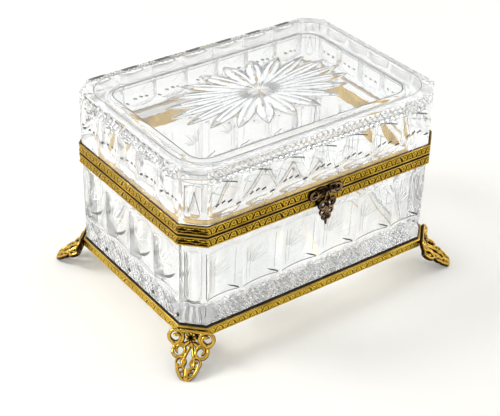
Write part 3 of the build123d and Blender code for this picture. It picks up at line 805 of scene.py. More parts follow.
def band_dress(prefix, low, high, way, body):
    """Engraving, beads and dark seams of a rim band, the seams painted shade in its gaps. way is +1 where
    it parts on top.
    """
    fine = band_ring(BAND_LENGTH, BAND_DEPTH, BAND_CANT, FINE_STEP)
    coarse = band_ring(BAND_LENGTH, BAND_DEPTH, BAND_CANT, COARSE_STEP)
    strip = engraved_strip(fine, low + 2 * BEAD_RADIUS, high - 2 * BEAD_RADIUS, PANEL_INSET)
    ringed(prefix + "_engraving", [strip], body, engraved_gilt)
    beads = [round_bead(coarse, z, BEAD_RADIUS * 0.55) for z in (low + BEAD_RADIUS, high - BEAD_RADIUS)]
    ringed(prefix + "_beads", beads, body, polished_gilt)
    parting, foot = (high, low) if way > 0 else (low, high)
    seam(prefix + "_parting_seam",
         [(parting + up * way, inset) for up, inset in
          ((0.03, 0.12), (0.03, 0.84), (0.76, 0.84), (0.76, 1.2), (-0.2, 1.2), (-0.2, 0.12))],
         coarse, body)
    seam(prefix + "_glass_seam",
         [(foot + up * way, inset) for up, inset in
          ((-0.04, 0.6), (-0.04, 1.78), (0.3, 1.78), (0.3, 0.6))],
         coarse, body)


# brown-black of painted shade and grime for the seams and gaps
seam_shade_and_grime = seam_shade_finish("seam_shade_and_grime")
engraved_gilt = gilt_finish("engraved_gilt", (0.78, 0.50, 0.04), (0.020, 0.008, 0.001), 0.42, 900, 0.48)
polished_gilt = plain_gilt("polished_gilt", (0.80, 0.54, 0.10), (0.36, 0.20, 0.02), 0.25, 70)
refinished("body_rim_band", polished_gilt)
band_dress("body_band", BODY_BAND_LOW, BODY_BAND_HIGH, 1, "casket")

# ---- Plaster under the bands -------------------------------------------------------
# Thin beds of dry white plaster between glass and brass, seen only through the crystal.
# It is chalky, a little yellowed in patches, with fine pores.
dry_plaster, tree = new_finish("dry_plaster")
stain = ramp(tree, noise(tree, 60), (0.0, (0.92, 0.91, 0.88)), (1.0, (0.96, 0.96, 0.95)))
coat(tree, {"Roughness": 0.95, "Base Color": stain, "Normal": uneven(tree, noise(tree, 900), 0.4, 0.0002)})
for bed in ("body_rim_bedding", "lid_rim_bedding", "base_bedding"):
    refinished(bed, dry_plaster)

# ---- Base frame --------------------------------------------------------------------
# A gilt brass frame with a ledge that carries the glass. Its upright face is engraved like
# the bands, and its upper lip slopes down from the glass, plain and polished.
FRAME_LENGTH = 199.4
FRAME_DEPTH = 139.4
FRAME_CANT = 12.824
FRAME_LOW = 18.5
FRAME_FACE_TOP = 23.4
FRAME_LIP_SEAM = ((24.2, 0.70), (24.53, 1.03), (24.53, 1.6), (24.0, 1.6), (23.9, 0.6))
GLASS_FOOT_WALLS = (172.5, 112.5, 16.9)       # front, side and cant of the glass
GLASS_FOOT_SEAM = ((24.4, -0.12), (25.5, -0.08), (25.5, 0.4), (24.4, 0.4))

frame_gilt = gilt_finish("frame_gilt", (0.95, 0.66, 0.06), (0.16, 0.085, 0.005), 0.38, 900)
refinished("base_frame", polished_gilt)
frame_fine = band_ring(FRAME_LENGTH, FRAME_DEPTH, FRAME_CANT, FINE_STEP)
frame_strip = engraved_strip(frame_fine, FRAME_LOW + 2 * BEAD_RADIUS, FRAME_FACE_TOP - BEAD_RADIUS, -0.04)
ringed("base_frame_engraving", [frame_strip], "casket", frame_gilt)
frame_coarse = band_ring(FRAME_LENGTH, FRAME_DEPTH, FRAME_CANT, COARSE_STEP)
frame_beads = [round_bead(frame_coarse, z, 0.0) for z in (FRAME_LOW + BEAD_RADIUS, FRAME_FACE_TOP)]
ringed("base_frame_beads", frame_beads, "casket", polished_gilt)
# dark rings of painted shade and grime over the lip's slope and round the foot of the glass
seam("base_frame_lip", FRAME_LIP_SEAM, frame_coarse, "casket")
glass_coarse = Ring(BODY_LENGTH, BODY_DEPTH, GLASS_CANT, GROUND_EDGE,
                    *[stepped(span, COARSE_STEP) for span in GLASS_FOOT_WALLS])
seam("base_glass_seam", GLASS_FOOT_SEAM, glass_coarse, "casket")

# ---- Feet ----------------------------------------------------------------------------
# Four cast brass feet, gilt: pairs of scrolls curl in beside a pierced drop, and a leaf runs
# down to the toe. Each is bent to an S and screwed up into the base frame by its lug.
FOOT_OUT_X = 93.288
FOOT_OUT_Y = 63.288
FOOT_SLOPE = math.radians(33.0)       # the casting is drawn square to this slope
FOOT_THICKNESS = 2.6
FOOT_PROFILE = ((2.34, 24.1), (5.2, 18.5), (4.94, 12.95), (8.59, 11.65), (13.56, 8.58),
                (22.6, 2.34), (22.6, 0.0))
FOOT_OUT = [out for out, up in FOOT_PROFILE]
FOOT_UP = [up for out, up in FOOT_PROFILE]
FOOT_DOWN = [(out - FOOT_OUT[0]) * math.sin(FOOT_SLOPE) + (FOOT_UP[0] - up) * math.cos(FOOT_SLOPE)
             for out, up in FOOT_PROFILE]
FOOT_EASING = (-1.2, -0.6, 0.0, 0.6, 1.2)     # the profile's bends are rounded over this
FOOT_LEAN = 1.5
SCROLLS = ((9.4, -5.6, 5.6, 250.0), (7.1, -13.1, 4.7, 130.0), (4.6, -19.8, 3.7, 240.0))
LUG_WIDTH = 7.2
LUG_THICKNESS = 1.6
LUG_REACH = 6.2


def foot_surface(x, y, rise):
    """Points of a foot facing +X, from its drawing and how far they stand above its face."""
    out, up, lean_out, lean_up = 0, 0, 0, 0
    for step in FOOT_EASING:
        at = np.clip(-y + step, 0, FOOT_DOWN[-1])
        out = out + np.interp(at, FOOT_DOWN, FOOT_OUT) / len(FOOT_EASING)
        up = up + np.interp(at, FOOT_DOWN, FOOT_UP) / len(FOOT_EASING)
    for step in (-FOOT_LEAN, FOOT_LEAN):
        at = np.clip(-y, FOOT_LEAN, FOOT_DOWN[-2] - FOOT_LEAN) + step
        lean_out = lean_out + np.sign(step) * np.interp(at, FOOT_DOWN, FOOT_OUT)
        lean_up = lean_up + np.sign(step) * np.interp(at, FOOT_DOWN, FOOT_UP)
    length = np.hypot(lean_out, lean_up)
    out = out - rise * lean_up / length
    up = up + rise * lean_out / length
    return np.stack([np.minimum(out, FOOT_OUT[-1]), x + 0 * out, np.maximum(up, 0)], axis=-1)


def volute(x, y, outer, turn, side, weight):
    """Path and half width of a scroll: once round, then curling in to a bead."""
    t = np.linspace(0, 1, 46)
    angle = math.radians(turn) - math.radians(560) * t
    curl = np.maximum(0, t - 0.6) / 0.4
    reach = outer * (0.8 - 0.62 * curl ** 0.8)
    half_width = outer * (0.2 - 0.07 * curl)
    half_width = half_width + outer * 0.12 * np.exp(-((t - 1) / 0.05) ** 2)
    return side * (x + reach * np.cos(angle)), y + reach * np.sin(angle), weight * half_width


def drop_outline(top, bottom, width, count=44):
    """Closed path of a pointed drop on x = 0 with its round end at the bottom."""
    radius = width / 2
    centre = bottom + radius
    lean = math.acos(radius / (top - centre))
    sweep = np.linspace(math.pi / 2 - lean, lean - 3 * math.pi / 2, count // 2)
    round_x, round_y = radius * np.cos(sweep), centre + radius * np.sin(sweep)
    side = np.linspace(0, 1, count // 4, endpoint=False)
    left_x, left_y = round_x[-1] * (1 - side), round_y[-1] + (top - round_y[-1]) * side
    right_x, right_y = round_x[0] * side, top + (round_y[0] - top) * side
    return np.concatenate([round_x, left_x, right_x]), np.concatenate([round_y, left_y, right_y])


def ring_path(x, y, radius, count=20):
    """Closed round path."""
    turn = 2 * math.pi * np.arange(count) / count
    return x + radius * np.cos(turn), y + radius * np.sin(turn)


def domed(surface, x, y, hole, radius, rise, petals, depth):
    """A small domed rosette with a hole, scalloped into petals."""
    around = 8 * petals
    turn = 2 * math.pi * np.arange(around) / around
    lift = 0.5 + 0.5 * np.cos(petals * turn)
    # the shine of each ring is painted light: a highlight round the dome's top, shade at its foot and in
    # its hole
    rings = [(hole, -depth, 0.0), (hole, rise, 0.2), ((hole + radius) / 2, rise + 0.5, 0.6),
             (0.85 * radius, rise + 0.35, 0.7), (radius, rise - 0.3, 0.2), (radius, -depth, 0.0)]
    dome, crest = [], []
    for reach, height, shine in rings:
        top = 1 if shine > 0 else 0
        scallop = 0.08 * (lift - 0.5) if reach > hole else 0 * lift
        edge = reach * (1 + scallop)
        dome.append(surface(x + edge * np.cos(turn), y + edge * np.sin(turn), height + top * 0.45 * lift))
        crest.append(shine + top * (0.4 * lift - 0.2))
    return np.vstack(dome), tube_faces(len(rings), around, True), np.concatenate(crest)


def lug_shell():
    """Flat lug under the frame with its round end."""
    turn = np.linspace(math.pi / 2, 3 * math.pi / 2, 13)
    outline = [(FOOT_OUT[0], -LUG_WIDTH / 2), (FOOT_OUT[0], LUG_WIDTH / 2)]
    outline += list(zip(-LUG_REACH + LUG_WIDTH / 2 * np.cos(turn), LUG_WIDTH / 2 * np.sin(turn)))
    count = len(outline)
    lug = [(x, y, z) for z in (FRAME_LOW - LUG_THICKNESS, FRAME_LOW) for x, y in outline]
    lug_faces = [tuple(range(count)), tuple(reversed(range(count, 2 * count)))]
    lug_faces += [(i, (i + 1) % count, count + (i + 1) % count, count + i) for i in range(count)]
    return np.array(lug), lug_faces, np.full(2 * count, 0.2)


def foot_parts():
    """Shells of one foot that faces +X."""
    mid = -FOOT_THICKNESS / 2
    deep = FOOT_THICKNESS / 2 + 0.25
    parts = []

    def bar(path_x, path_y, half_width, extra=0.0, **shape):
        parts.append(swept(foot_surface, path_x, path_y, half_width, mid, deep + extra, **shape))

    t = np.linspace(0, 1, 16)
    swell = np.sin(math.pi * t)
    for side in (-1, 1):
        for x, y, outer, turn in SCROLLS:
            bar(*volute(x, y, outer, turn, side, 1.12))
        # leaf that runs from the lower scroll down beside the toe, and the eye beside it
        bar(side * (6.6 - 5.2 * t + 1.3 * swell), -21.0 - 9.6 * t, 1.35 - 0.5 * t)
        bar(*ring_path(side * 2.5, -26.6, 1.55), 0.62, 0.1, sides=8, closed=True)
        # small leaf between the upper scrolls and the drop
        bar(side * (1.0 + 4.2 * t), -8.3 - 3.2 * t, 0.45 + 0.75 * swell, -0.1, sides=8)
    # crossbar at the top, the drop, the leaf to the toe, the rosette and the lug
    bar(np.linspace(-9, 9, 15), np.full(15, -1.5), 1.35, -0.1)
    bar(*drop_outline(-8.3, -24.15, 7.5), 0.95, closed=True)
    t = np.linspace(0, 1, 18)
    bar(0 * t, -23.6 - 9.6 * t, 2.1 - 0.5 * t, 0.15)
    parts.append(domed(foot_surface, 0, -4.9, 0.9, 3.2, 0.1, 8, FOOT_THICKNESS))
    parts.append(lug_shell())
    return gathered(parts)


# the feet's bars are painted with highlights on their tops and shade down their sides, into the piercings,
# over dark patina
cast_gilt = gilt_finish("cast_gilt", (0.70, 0.44, 0.07), (0.035, 0.013, 0.001), 0.38, 500, 0.72)
foot_points, foot_faces, foot_crest = foot_parts()
out, across, up = foot_points.T
for foot_name, sx, sy in (("front_left", -1, -1), ("front_right", 1, -1),
                          ("back_right", 1, 1), ("back_left", -1, 1)):
    x = sx * FOOT_OUT_X + (sx * out - sy * across) * math.sqrt(0.5)
    y = sy * FOOT_OUT_Y + (sy * out + sx * across) * math.sqrt(0.5)
    foot = made("cast_foot_" + foot_name, np.stack([x, y, up], axis=-1), foot_faces, 50.0, foot_crest)
    foot.data.materials.append(cast_gilt)
    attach(foot, "casket")
    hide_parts("foot_" + foot_name)

# ---- Foot screws, hinge and stud -------------------------------------------------------
# Brass screws under the feet, a soldered hinge of five knuckles on the backs of the bands
# with its pin, and the stud that the clasp closes over. All are plain, rubbed gilt brass.
hinge_gilt = plain_gilt("hinge_gilt", (0.78, 0.50, 0.08), (0.16, 0.08, 0.01), 0.36, 230)
screw_brass = plain_gilt("screw_brass", (0.60, 0.42, 0.17), (0.22, 0.13, 0.04), 0.42, 200)
for piece in ("hinge_leaf_body", "hinge_leaf_lid", "catch_stud"):
    refinished(piece, hinge_gilt)
for piece in ("foot_screws", "hinge_pin", "clasp_pin"):
    refinished(piece, screw_brass)

# ---- Crystal lid ---------------------------------------------------------------
# The lid is the same crystal: flutes under a shoulder of small pointed diamonds, a flat
# polished top, and a star of twenty long lancets cut up into its ceiling from inside.
LID_RIM = 92.74
LID_SKIRT = 96.4
LID_TOP = 135.0
LID_FLUTE_FOOT = 101.4
LID_SHOULDER = 124.5
LID_FLUTE_DEPTH = 2.6
TOP_BEVEL = 0.8
TOP_MARGIN = 4.0
DIAMOND_ROWS = 2
DIAMOND_FROM = 124.9
DIAMOND_TO = 133.9
DIAMOND_DEPTH = 1.0
DIAMOND_RISE = (DIAMOND_TO - DIAMOND_FROM) / DIAMOND_ROWS
DIAMOND_PITCH_FRONT = FLUTED_FRONT / 42
DIAMOND_PITCH_SIDE = FLUTED_SIDE / 30
LID_CEILING = 125.5
CEILING_RINGS = 64
STAR_PETALS = 20
STAR_REACH_X = 66.0
STAR_REACH_Y = 39.0
STAR_EYE = 1.5
PETAL_FILL = 1.35
PETAL_WIDEST = 0.6
PETAL_SLOPE = 0.25
LID_FRONT_EDGES = tuple(FLUTED_FRONT * (i / 7 - 0.5) for i in range(8))
LID_SIDE_EDGES = tuple(FLUTED_SIDE * (i / 5 - 0.5) for i in range(6))


def diamonds(ring, z):
    """Small pointed diamonds round the lid's shoulder, six to every flute."""
    pitch = np.where(ring.wall == FRONT, DIAMOND_PITCH_FRONT, DIAMOND_PITCH_SIDE)
    return faded(ring, DIAMOND_DEPTH * crossed(ring.along, z - DIAMOND_FROM, pitch, DIAMOND_RISE))


def petal_tip(i):
    """Tip of one of the star's petals, or of the gap halfway to the next."""
    turn = 2 * math.pi * i / STAR_PETALS
    return np.array((STAR_REACH_X * math.cos(turn), STAR_REACH_Y * math.sin(turn)))


def petal_half_width(reach, share):
    """Half the width of a petal of this reach, at a share of its length."""
    room = PETAL_WIDEST * STAR_REACH_X * STAR_REACH_Y * math.sin(2 * math.pi / STAR_PETALS) / reach
    return PETAL_FILL * room / 2 * np.sin(math.pi * share ** 1.25) ** 0.8


def star_depth(x, y):
    """How deep the star is cut into the ceiling: V-shaped lancets that run into each other."""
    cut = np.zeros(np.shape(x))
    for i in range(STAR_PETALS):
        tip_x, tip_y = petal_tip(i)
        reach = math.hypot(tip_x, tip_y)
        along = (x * tip_x + y * tip_y) / reach
        across = np.abs(y * tip_x - x * tip_y) / reach
        share = np.clip((along - STAR_EYE) / (reach - STAR_EYE), 0, 1)
        cut = np.maximum(cut, PETAL_SLOPE * (petal_half_width(reach, share) - across))
    return cut


lid_ring = glass_ring(LID_FRONT_EDGES, (24,) * 7, LID_SIDE_EDGES, (24,) * 5)
lid_flutes = flutes(lid_ring, LID_FRONT_EDGES, LID_SIDE_EDGES, LID_FLUTE_DEPTH) + cant_flute(lid_ring)
uncut = 0 * lid_flutes
lid_rows = [(LID_RIM, uncut + GROUND_EDGE), (LID_RIM + GROUND_EDGE, uncut - SET_IN),
            (LID_SKIRT - SET_IN, uncut - SET_IN), (LID_SKIRT, uncut)]
for z in np.linspace(LID_FLUTE_FOOT, LID_FLUTE_FOOT + FLUTE_RUN_OUT, 10):
    rise = (1 - (z - LID_FLUTE_FOOT) / FLUTE_RUN_OUT) ** 2
    lid_rows.append((z, np.maximum(0, lid_flutes - LID_FLUTE_DEPTH * rise)))
for z in np.linspace(LID_FLUTE_FOOT + FLUTE_RUN_OUT, LID_SHOULDER, 8)[1:]:
    lid_rows.append((z, lid_flutes))
lid_rows += [(LID_SHOULDER, uncut), (DIAMOND_FROM, uncut)]
diamond_rows = [(z, diamonds(lid_ring, z))
                for z in np.linspace(DIAMOND_FROM, DIAMOND_TO, 4 * DIAMOND_ROWS + 1)]
centres = [None] * len(lid_rows)
centres += [diagonals(lid_ring, diamonds, z, z_next, here, over)
            for (z, here), (z_next, over) in zip(diamond_rows, diamond_rows[1:])]
centres += [None, None, None]
lid_rows += diamond_rows
lid_rows += [(DIAMOND_TO, uncut), (LID_TOP - TOP_BEVEL, uncut), (LID_TOP, uncut + TOP_BEVEL)]
outside = [lid_ring.row(z, d) for z, d in lid_rows]
inside = hollow_wall(LID_RIM, LID_CEILING)
rim = inside[-1]
for k in range(1, CEILING_RINGS):
    x, y = rim[:, 0] * (1 - k / CEILING_RINGS), rim[:, 1] * (1 - k / CEILING_RINGS)
    inside.append(np.column_stack((x, y, LID_CEILING + star_depth(x, y))))
points = np.vstack(outside + inside + [np.array([(0, 0, LID_CEILING + star_depth(0.0, 0.0))])])
outside_count = len(outside) * lid_ring.count
last_first = outside_count + (len(inside) - 1) * HOLLOW_POINTS
faces = strips(outside, 0, middle=centres)
faces += joined_rings(outside[0], 0, inside[0], outside_count, True)
faces += strips(inside, outside_count)
faces += [(last_first + i, last_first + (i + 1) % HOLLOW_POINTS, len(points) - 1)
          for i in range(HOLLOW_POINTS)]
top_loop = hollow_row(LID_TOP, -TOP_MARGIN)
faces += joined_rings(outside[-1], outside_count - lid_ring.count, top_loop, len(points), False)
cap_points, cap_faces = flat_cap(top_loop, len(points))
points = np.vstack((points, cap_points))
faces += cap_faces
crystal_lid = made("crystal_lid", points, faces)
crystal_lid.data.materials.append(crystal_finish("crystal_lid_glass"))
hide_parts("glass_lid")
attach(crystal_lid, "lid")

# Painted lines of the lid, dark to white, for refractions, reflections and shade in the crystal, with dust
# in
# the cuts: short dashes over the band, bars of shade under the shoulder, the floors of the shoulder's
# cuts, borders round the top and ceiling, and the edges of the star's petals.
FRONT_MARKS = ((((1.0, 112.6), (2.6, 115.2), (4.6, 118.3)), (0.15, 0.3, 0.2), 0.2),
               (((4.6, 118.3), (6.8, 124.3)), 0.13, 0.45),
               (((4.6, 118.3), (9.0, 115.2), (13.0, 113.0)), 0.16, 0.4))
# bars of painted shade under the shoulder's step, with a grey line under each
FRONT_BAR = np.linspace((7.4, 124.2), (21.8, 120.3), 8)
FRONT_DASHES = ((8.6, 108.0), (13.0, 108.7), (17.4, 108.2), (22.6, 105.6))
SIDE_BAR = np.linspace((5.5, 121.4), (17.0, 123.4), 8)
SIDE_DOTS = (1.8, 6.4, 11.0, 15.6)
SIDE_DOT_HEIGHT = 109.3
SHOULDER_DASHES = ((((0.0, 133.6), (3.0, 133.3)), 0.08), (((6.5, 133.4), (8.4, 133.2)), 0.0))
FLOOR_HEIGHTS = (0.2, 2.2, 4.4, 6.6, 8.8)
FLOOR_SHADES = (0.25, 0.6, 0.4)
PETAL_EDGES = ((-0.74, 0.15), (0.0, 0.5), (0.74, 0.0))         # share of the half width, shade
PETAL_FLANKS = (-0.38, 0.38)
CANT_FRAME = ((-5.0, 107.0), (-5.0, 123.2), (0.0, 124.2), (5.0, 123.4), (5.0, 107.0))
CANT_PEAK = ((-3.6, 105.5), (-1.2, 112.0), (0.2, 119.5), (2.0, 112.0), (4.0, 105.0))
FAR_REFRACTION = ((1.0, BODY_DEPTH / 2 - 2.6), (12.0, BODY_DEPTH / 2 - 2.2))
FAR_ZIGZAG = ((13.5, 65.5), (17.5, 62.5), (22.0, 65.0))
REFRACTION_BLOTS = ((0.66, 0.9, 0.5), (0.84, 0.6, 0.3))


def side_marks(lines, wall, flat, edges):
    """Painted dots and bars in the flutes of a side wall, the bars shade under the shoulder, and dashes on
    its shoulder.
    """
    for edge in edges[:-1]:
        for along in SIDE_DOTS:
            height = SIDE_DOT_HEIGHT + 0.06 * along
            draw(lines, wall, ((along, height), (along + 2.2, height + 0.2)), 0.65, 0.0, edge)
        draw(lines, wall, SIDE_BAR, 0.5, 0.25, edge)
        draw(lines, wall, SIDE_BAR - (0.6, 3.0), 0.2, 0.6, edge)
    for along in np.arange(-50.0, 50.0, 12.5):
        for dash, shade in SHOULDER_DASHES:
            draw(lines, flat, dash, 0.55, shade, along)


def front_marks(lines, wall, edge):
    """Painted strokes, bars of shade under the shoulder, and dashes in one flute of the front or back."""
    for path, half_width, shade in FRONT_MARKS:
        draw(lines, wall, path, half_width, shade, edge)
    draw(lines, wall, FRONT_BAR, 0.42, 0.1, edge)
    draw(lines, wall, FRONT_BAR - (0.4, 3.6), 0.13, 0.6, edge)
    for along, z in FRONT_DASHES:
        draw(lines, wall, ((along - 1.3, z - 0.6), (along + 1.3, z + 0.6)), 0.6, 0.0, edge)


def diamond_floors(lines, flat, pitch, run):
    """Floors of the crossed cuts that leave the shoulder's diamonds."""
    reach = round(run / pitch) + 1
    for i, lean in itertools.product(range(-reach, reach + 1), (-1, 1)):
        path = [(pitch * (i + lean * up / DIAMOND_RISE), DIAMOND_FROM + up) for up in FLOOR_HEIGHTS]
        path = [point for point in path if abs(point[0]) < run]
        if len(path) > 1:
            draw(lines, flat, path, 0.15, FLOOR_SHADES[i % 3], middle=0.03 - DIAMOND_DEPTH)


def level(height, way):
    """Places on a level sheet. way is -1 where lines hang under it."""
    return lambda x, y, rise: np.stack([x, y, height + way * rise + 0 * x], axis=-1)


def on_ceiling(x, y, rise):
    """Places just under the lid's ceiling, following the star."""
    return np.stack([x, y, LID_CEILING + star_depth(x, y) - rise], axis=-1)


def petal_lines(lines, i):
    """Painted edges and middle of one petal, painted highlights on its flanks, and painted dark blots of
    refraction beside it.
    """
    tip = petal_tip(i)
    reach = np.hypot(*tip)
    way = tip / reach
    aside = np.array((-way[1], way[0]))
    share = np.linspace(0.12, 1.0, 16)
    half_width = petal_half_width(reach, share)
    for part, shade in PETAL_EDGES:
        line = np.outer(share * reach, way) + np.outer(part * half_width, aside)
        draw(lines, on_ceiling, line, 0.24, shade, middle=0.02)
    share, half_width = share[2:-3], half_width[2:-3]
    for part in PETAL_FLANKS:
        line = np.outer(share * reach, way) + np.outer(part * half_width, aside)
        draw(lines, on_ceiling, line, 0.2 * half_width, 1.0, middle=0.02)
    for share, half_width, shade in REFRACTION_BLOTS:
        blot = share * petal_tip(i + 0.5)
        draw(lines, on_ceiling, (blot, 1.05 * blot), half_width, shade, middle=0.02)


lid_lines = []
for side in range(4):
    edges = LID_SIDE_EDGES if side % 2 else LID_FRONT_EDGES
    wall = on_wall(side, edges, LID_FLUTE_DEPTH, LID_FLUTE_FOOT + 2.5, LID_SHOULDER)
    flat = on_side(side, lambda along, z: 0 * along)
    if side % 2:
        side_marks(lid_lines, wall, flat, edges)
    pitch = DIAMOND_PITCH_SIDE if side % 2 else DIAMOND_PITCH_FRONT
    diamond_floors(lid_lines, flat, pitch, edges[-1] - 2.0)
    if side % 2 == 0:
        for edge in edges[:-1]:
            front_marks(lid_lines, wall, edge)
    cant = on_cant(side, LID_FLUTE_FOOT, LID_SHOULDER)
    for path, half_width in ((CANT_FRAME, 0.2), (CANT_PEAK, 0.24)):
        for ends in zip(path, path[1:]):
            draw(lid_lines, cant, ends, half_width, 0.25)
on_top = level(LID_TOP - 0.09, 1)
for surface, shrink, shade in ((level(LID_CEILING - HOLLOW_EDGE, -1), 0.3, 0.1),
                               (on_ceiling, HOLLOW_EDGE + 0.2, 0.0), (on_top, -6.4, 0.35)):
    loop = hollow_row(0, shrink)[::4, :2]
    shell, loop_faces, _ = swept(surface, loop[:, 0], loop[:, 1], 0.34, 0.0, LINE_DEPTH, LINE_SIDES,
                                 closed=True)
    lid_lines.append((shell, loop_faces, np.full(len(shell), shade)))
# painted refractions of the back wall's flutes and shoulder, seen through the top's far edge
for edge in LID_FRONT_EDGES[:-1]:
    draw(lid_lines, on_top, FAR_REFRACTION, 1.3, 0.0, edge)
    draw(lid_lines, on_top, FAR_ZIGZAG, 0.35, 0.3, edge)
for i in range(STAR_PETALS):
    petal_lines(lid_lines, i)
light_line_object("crystal_lid_lines", lid_lines, "lid")

# ---- Gilt rim band of the lid --------------------------------------------------------
# A gilt brass channel like the body's, turned over, engraved and seamed alike. It is set over
# the lid's rim in plaster.
LID_BAND_LOW = 91.7
LID_BAND_HIGH = 97.9
refinished("lid_rim_band", polished_gilt)
band_dress("lid_band", LID_BAND_LOW, LID_BAND_HIGH, -1, "lid")

# ---- Clasp ----------------------------------------------------------------------------
# Scroll wings are brazed to the lid's band, and a pierced ornament hangs from them on a pin.
# Both are cast, their gilding gone dark brown and rubbed in patches; the tops of their bars carry painted
# highlights and their sides painted shade.
WING_FACE = -71.3
WING_MIDDLE = -0.45
DROP_FACE = -72.9
DROP_MIDDLE = -0.65
CLASP_HINGE_Y = -72.25
CLASP_HINGE_Z = 95.3
KNUCKLE_RADIUS = 1.35
KNUCKLE_BEVEL = 0.15
WING_SCROLLS = ((9.0, 93.2, 4.0, 60.0), (4.65, 94.8, 2.7, 230.0))
DROP_SCROLLS = ((3.4, 85.65, 3.6, 120.0), (2.66, 80.06, 2.8, 240.0), (1.54, 75.74, 2.1, 120.0))


def upright(face):
    """Places on an upright plate of the clasp."""
    return lambda x, z, rise: np.stack([x, face - rise + 0 * x, z], axis=-1)


def knuckle(left, right, count=24):
    """A barrel on the clasp's hinge line."""
    turn = 2 * math.pi * np.arange(count) / count
    small = KNUCKLE_RADIUS - KNUCKLE_BEVEL
    rows = []
    for x, radius in ((left, small), (left + KNUCKLE_BEVEL, KNUCKLE_RADIUS),
                      (right - KNUCKLE_BEVEL, KNUCKLE_RADIUS), (right, small)):
        rows.append(np.column_stack((np.full(count, x), CLASP_HINGE_Y + radius * np.cos(turn),
                                     CLASP_HINGE_Z + radius * np.sin(turn))))
    barrel = strips(rows, 0) + [tuple(range(count)), tuple(3 * count + i for i in range(count))]
    return np.vstack(rows), barrel, np.full(4 * count, 0.55)


def clasp_shape(name, parts, body, node):
    """One cast piece of the clasp from its shells."""
    clasp_points, clasp_faces, crest = gathered(parts)
    # the clasp's painted highlights on its crests are dimmed to 0.72
    obj = made(name, clasp_points, clasp_faces, 50.0, 0.72 * crest)
    obj.data.materials.append(dark_gilt)
    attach(obj, body)
    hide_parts(node)


dark_gilt = gilt_finish("dark_gilt", (0.50, 0.32, 0.18), (0.010, 0.004, 0.002), 0.30, 700, 0.8)
on_wings = upright(WING_FACE)
on_drop = upright(DROP_FACE)
wings, hanging = [], []
t = np.linspace(0, 1, 12)
for side in (-1, 1):
    for x, z, outer, turn in WING_SCROLLS:
        wings.append(swept(on_wings, *volute(x, z, outer, turn, side, 1.4), WING_MIDDLE, 0.75))
    wings.append(knuckle(*sorted((side * 3.3, side * 6.7))))
    for x, z, outer, turn in DROP_SCROLLS:
        hanging.append(swept(on_drop, *volute(x, z, outer, turn, side, 1.45), DROP_MIDDLE, 0.85))
    # a leaf over the wing's scrolls and a stem under them
    wings.append(swept(on_wings, side * (2.0 + 10 * t), 97.0 - 1.8 * t + np.sin(math.pi * t),
                       0.75 - 0.2 * t, WING_MIDDLE, 0.7, sides=8))
    wings.append(swept(on_wings, side * (3.5 + 6.0 * t), 92.6 - np.sin(math.pi * t), 0.8,
                       WING_MIDDLE, 0.7, sides=8))
hanging.append(knuckle(-3.0, 3.0))
hanging.append(swept(on_drop, *drop_outline(95.6, 86.6, 4.4), 0.62, DROP_MIDDLE, 0.85, closed=True))
hanging.append(domed(on_drop, 0, 85.0, 0.35, 1.5, 0.1, 6, 1.3))
t = np.linspace(0, 1, 14)
hanging.append(swept(on_drop, 0 * t, 84.5 - 14.2 * t, 0.55 + 0.55 * np.abs(np.sin(3 * math.pi * t)),
                     DROP_MIDDLE, 0.8))
clasp_shape("cast_clasp_wings", wings, "lid", "clasp_mount")
clasp_shape("cast_clasp_drop", hanging, "clasp", "clasp_drop")

# ---- Table, light and view -----------------------------------------------------
# A plain pale table under soft studio light, seen from the left front and above. A little
# light of its own keeps the table white, also where it is seen through the crystal.
TABLE_REACH = 6.0
LAMP_AIM = (0, 0, 0.07)
LAMP_SIZE = 0.4
LAMPS = (("lamp_left", (-0.7, 0.5, 0.8), 7), ("lamp_right", (1.0, -0.1, 0.7), 3))
ROOM_ENDS = (0.50, 0.68, 0.0)
SKY_STOPS = ((0.0, 0.93), (0.62, 0.93), (0.65, 0.12), (0.74, 0.12), (0.77, 0.92))
VIEW_AZIMUTH = math.radians(-36.93)
VIEW_ELEVATION = math.radians(32.79)
VIEW_ROLL = math.radians(1.67)
VIEW_DISTANCE = 874.485
VIEW_TARGET = (2.93, 10.0, 36.64)
FRAME_WIDTH = 500
FOCAL_PIXELS = 1287.3

table_mesh = bpy.data.meshes.new("table")
table_corners = [(x * TABLE_REACH, y * TABLE_REACH, 0) for x, y in ((-1, -1), (1, -1), (1, 1), (-1, 1))]
table_mesh.from_pydata(table_corners, [], [(0, 1, 2, 3)])
table = bpy.data.objects.new("table", table_mesh)
bpy.context.scene.collection.objects.link(table)
mat, tree = new_finish("table_white")
cloth = add(tree, "BsdfPrincipled", {"Base Color": (0.86, 0.85, 0.80, 1), "Roughness": 0.9})
seen = add(tree, "LightPath").outputs
lift = add(tree, "Math", {0: seen["Is Camera Ray"], 1: 0.1}, "MULTIPLY").outputs["Value"]
lift = add(tree, "Math", {0: seen["Is Transmission Ray"], 1: 0.2, 2: lift}, "MULTIPLY_ADD")
glow = add(tree, "Emission", {"Strength": lift.outputs["Value"]})
both = add(tree, "AddShader", {0: cloth.outputs["BSDF"], 1: glow.outputs["Emission"]})
add(tree, "OutputMaterial", {"Surface": both.outputs["Shader"]})
table_mesh.materials.append(mat)

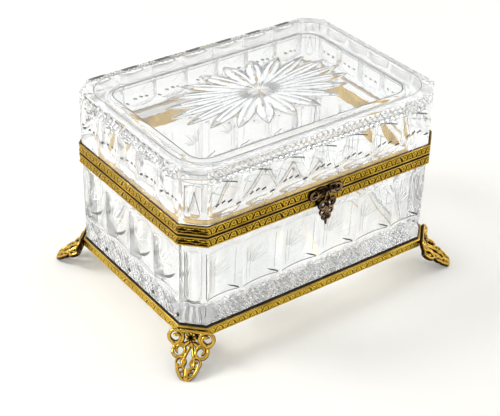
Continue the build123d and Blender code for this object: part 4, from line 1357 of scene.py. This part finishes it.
# the studio: pale, with a dark band along the horizon's height and darker ends of the room
world = bpy.data.worlds.new("studio")
bpy.context.scene.world = world
world.use_nodes = True
tree = world.node_tree
tree.nodes.clear()
place = add(tree, "TexCoord").outputs["Generated"]
height = add(tree, "SeparateXYZ", {"Vector": place}).outputs["Z"]
shade = ramp(tree, height, *[(stop, (grey, grey, grey)) for stop, grey in SKY_STOPS],
             (1.0, (0.86, 0.87, 0.88)))
ends = add(tree, "VectorMath", {0: place, 1: ROOM_ENDS}, "DOT_PRODUCT").outputs["Value"]
ends = add(tree, "Math", {0: ends}, "ABSOLUTE").outputs["Value"]
ends = add(tree, "Math", {0: height, 1: 0.54, 2: ends}, "MULTIPLY_ADD").outputs["Value"]
sky = add(tree, "Background", {"Color": shade, "Strength": ranged(tree, ends, 1.0, 0.3, 0.90, 0.94)})
plain = add(tree, "Background", {"Color": (1, 1, 1, 1)})
mix = add(tree, "MixShader", {"Fac": add(tree, "LightPath").outputs["Is Camera Ray"],
                              1: sky.outputs["Background"], 2: plain.outputs["Background"]})
add(tree, "OutputWorld", {"Surface": mix.outputs["Shader"]})


def softbox(name, lamp_place, strength):
    """A soft square lamp that looks at the box."""
    lamp = bpy.data.lights.new(name, "AREA")
    lamp.shape = "RECTANGLE"
    lamp.size = lamp.size_y = LAMP_SIZE
    lamp.energy = strength
    obj = bpy.data.objects.new(name, lamp)
    bpy.context.scene.collection.objects.link(obj)
    obj.location = lamp_place
    obj.rotation_euler = (Vector(LAMP_AIM) - Vector(lamp_place)).to_track_quat("-Z", "Y").to_euler()


for lamp_name, lamp_place, strength in LAMPS:
    softbox(lamp_name, lamp_place, strength)

back = Vector((math.sin(VIEW_AZIMUTH) * math.cos(VIEW_ELEVATION),
               -math.cos(VIEW_AZIMUTH) * math.cos(VIEW_ELEVATION), math.sin(VIEW_ELEVATION)))
lens = bpy.data.cameras.new("view")
lens.sensor_width = 36
lens.lens = FOCAL_PIXELS / FRAME_WIDTH * lens.sensor_width
lens.clip_start = 0.05
lens.clip_end = 50
camera = bpy.data.objects.new("view", lens)
bpy.context.scene.collection.objects.link(camera)
camera.location = (Vector(VIEW_TARGET) + back * VIEW_DISTANCE) * MM
camera.rotation_mode = "QUATERNION"
camera.rotation_quaternion = ((-back).to_track_quat("-Z", "Y").to_matrix()
                              @ Matrix.Rotation(VIEW_ROLL, 3, "Z")).to_quaternion()
scene = bpy.context.scene
scene.camera = camera
scene.view_settings.view_transform = "Standard"
scene.cycles.max_bounces = 24
scene.cycles.transmission_bounces = 24
scene.cycles.glossy_bounces = 8
scene.cycles.transparent_max_bounces = 16
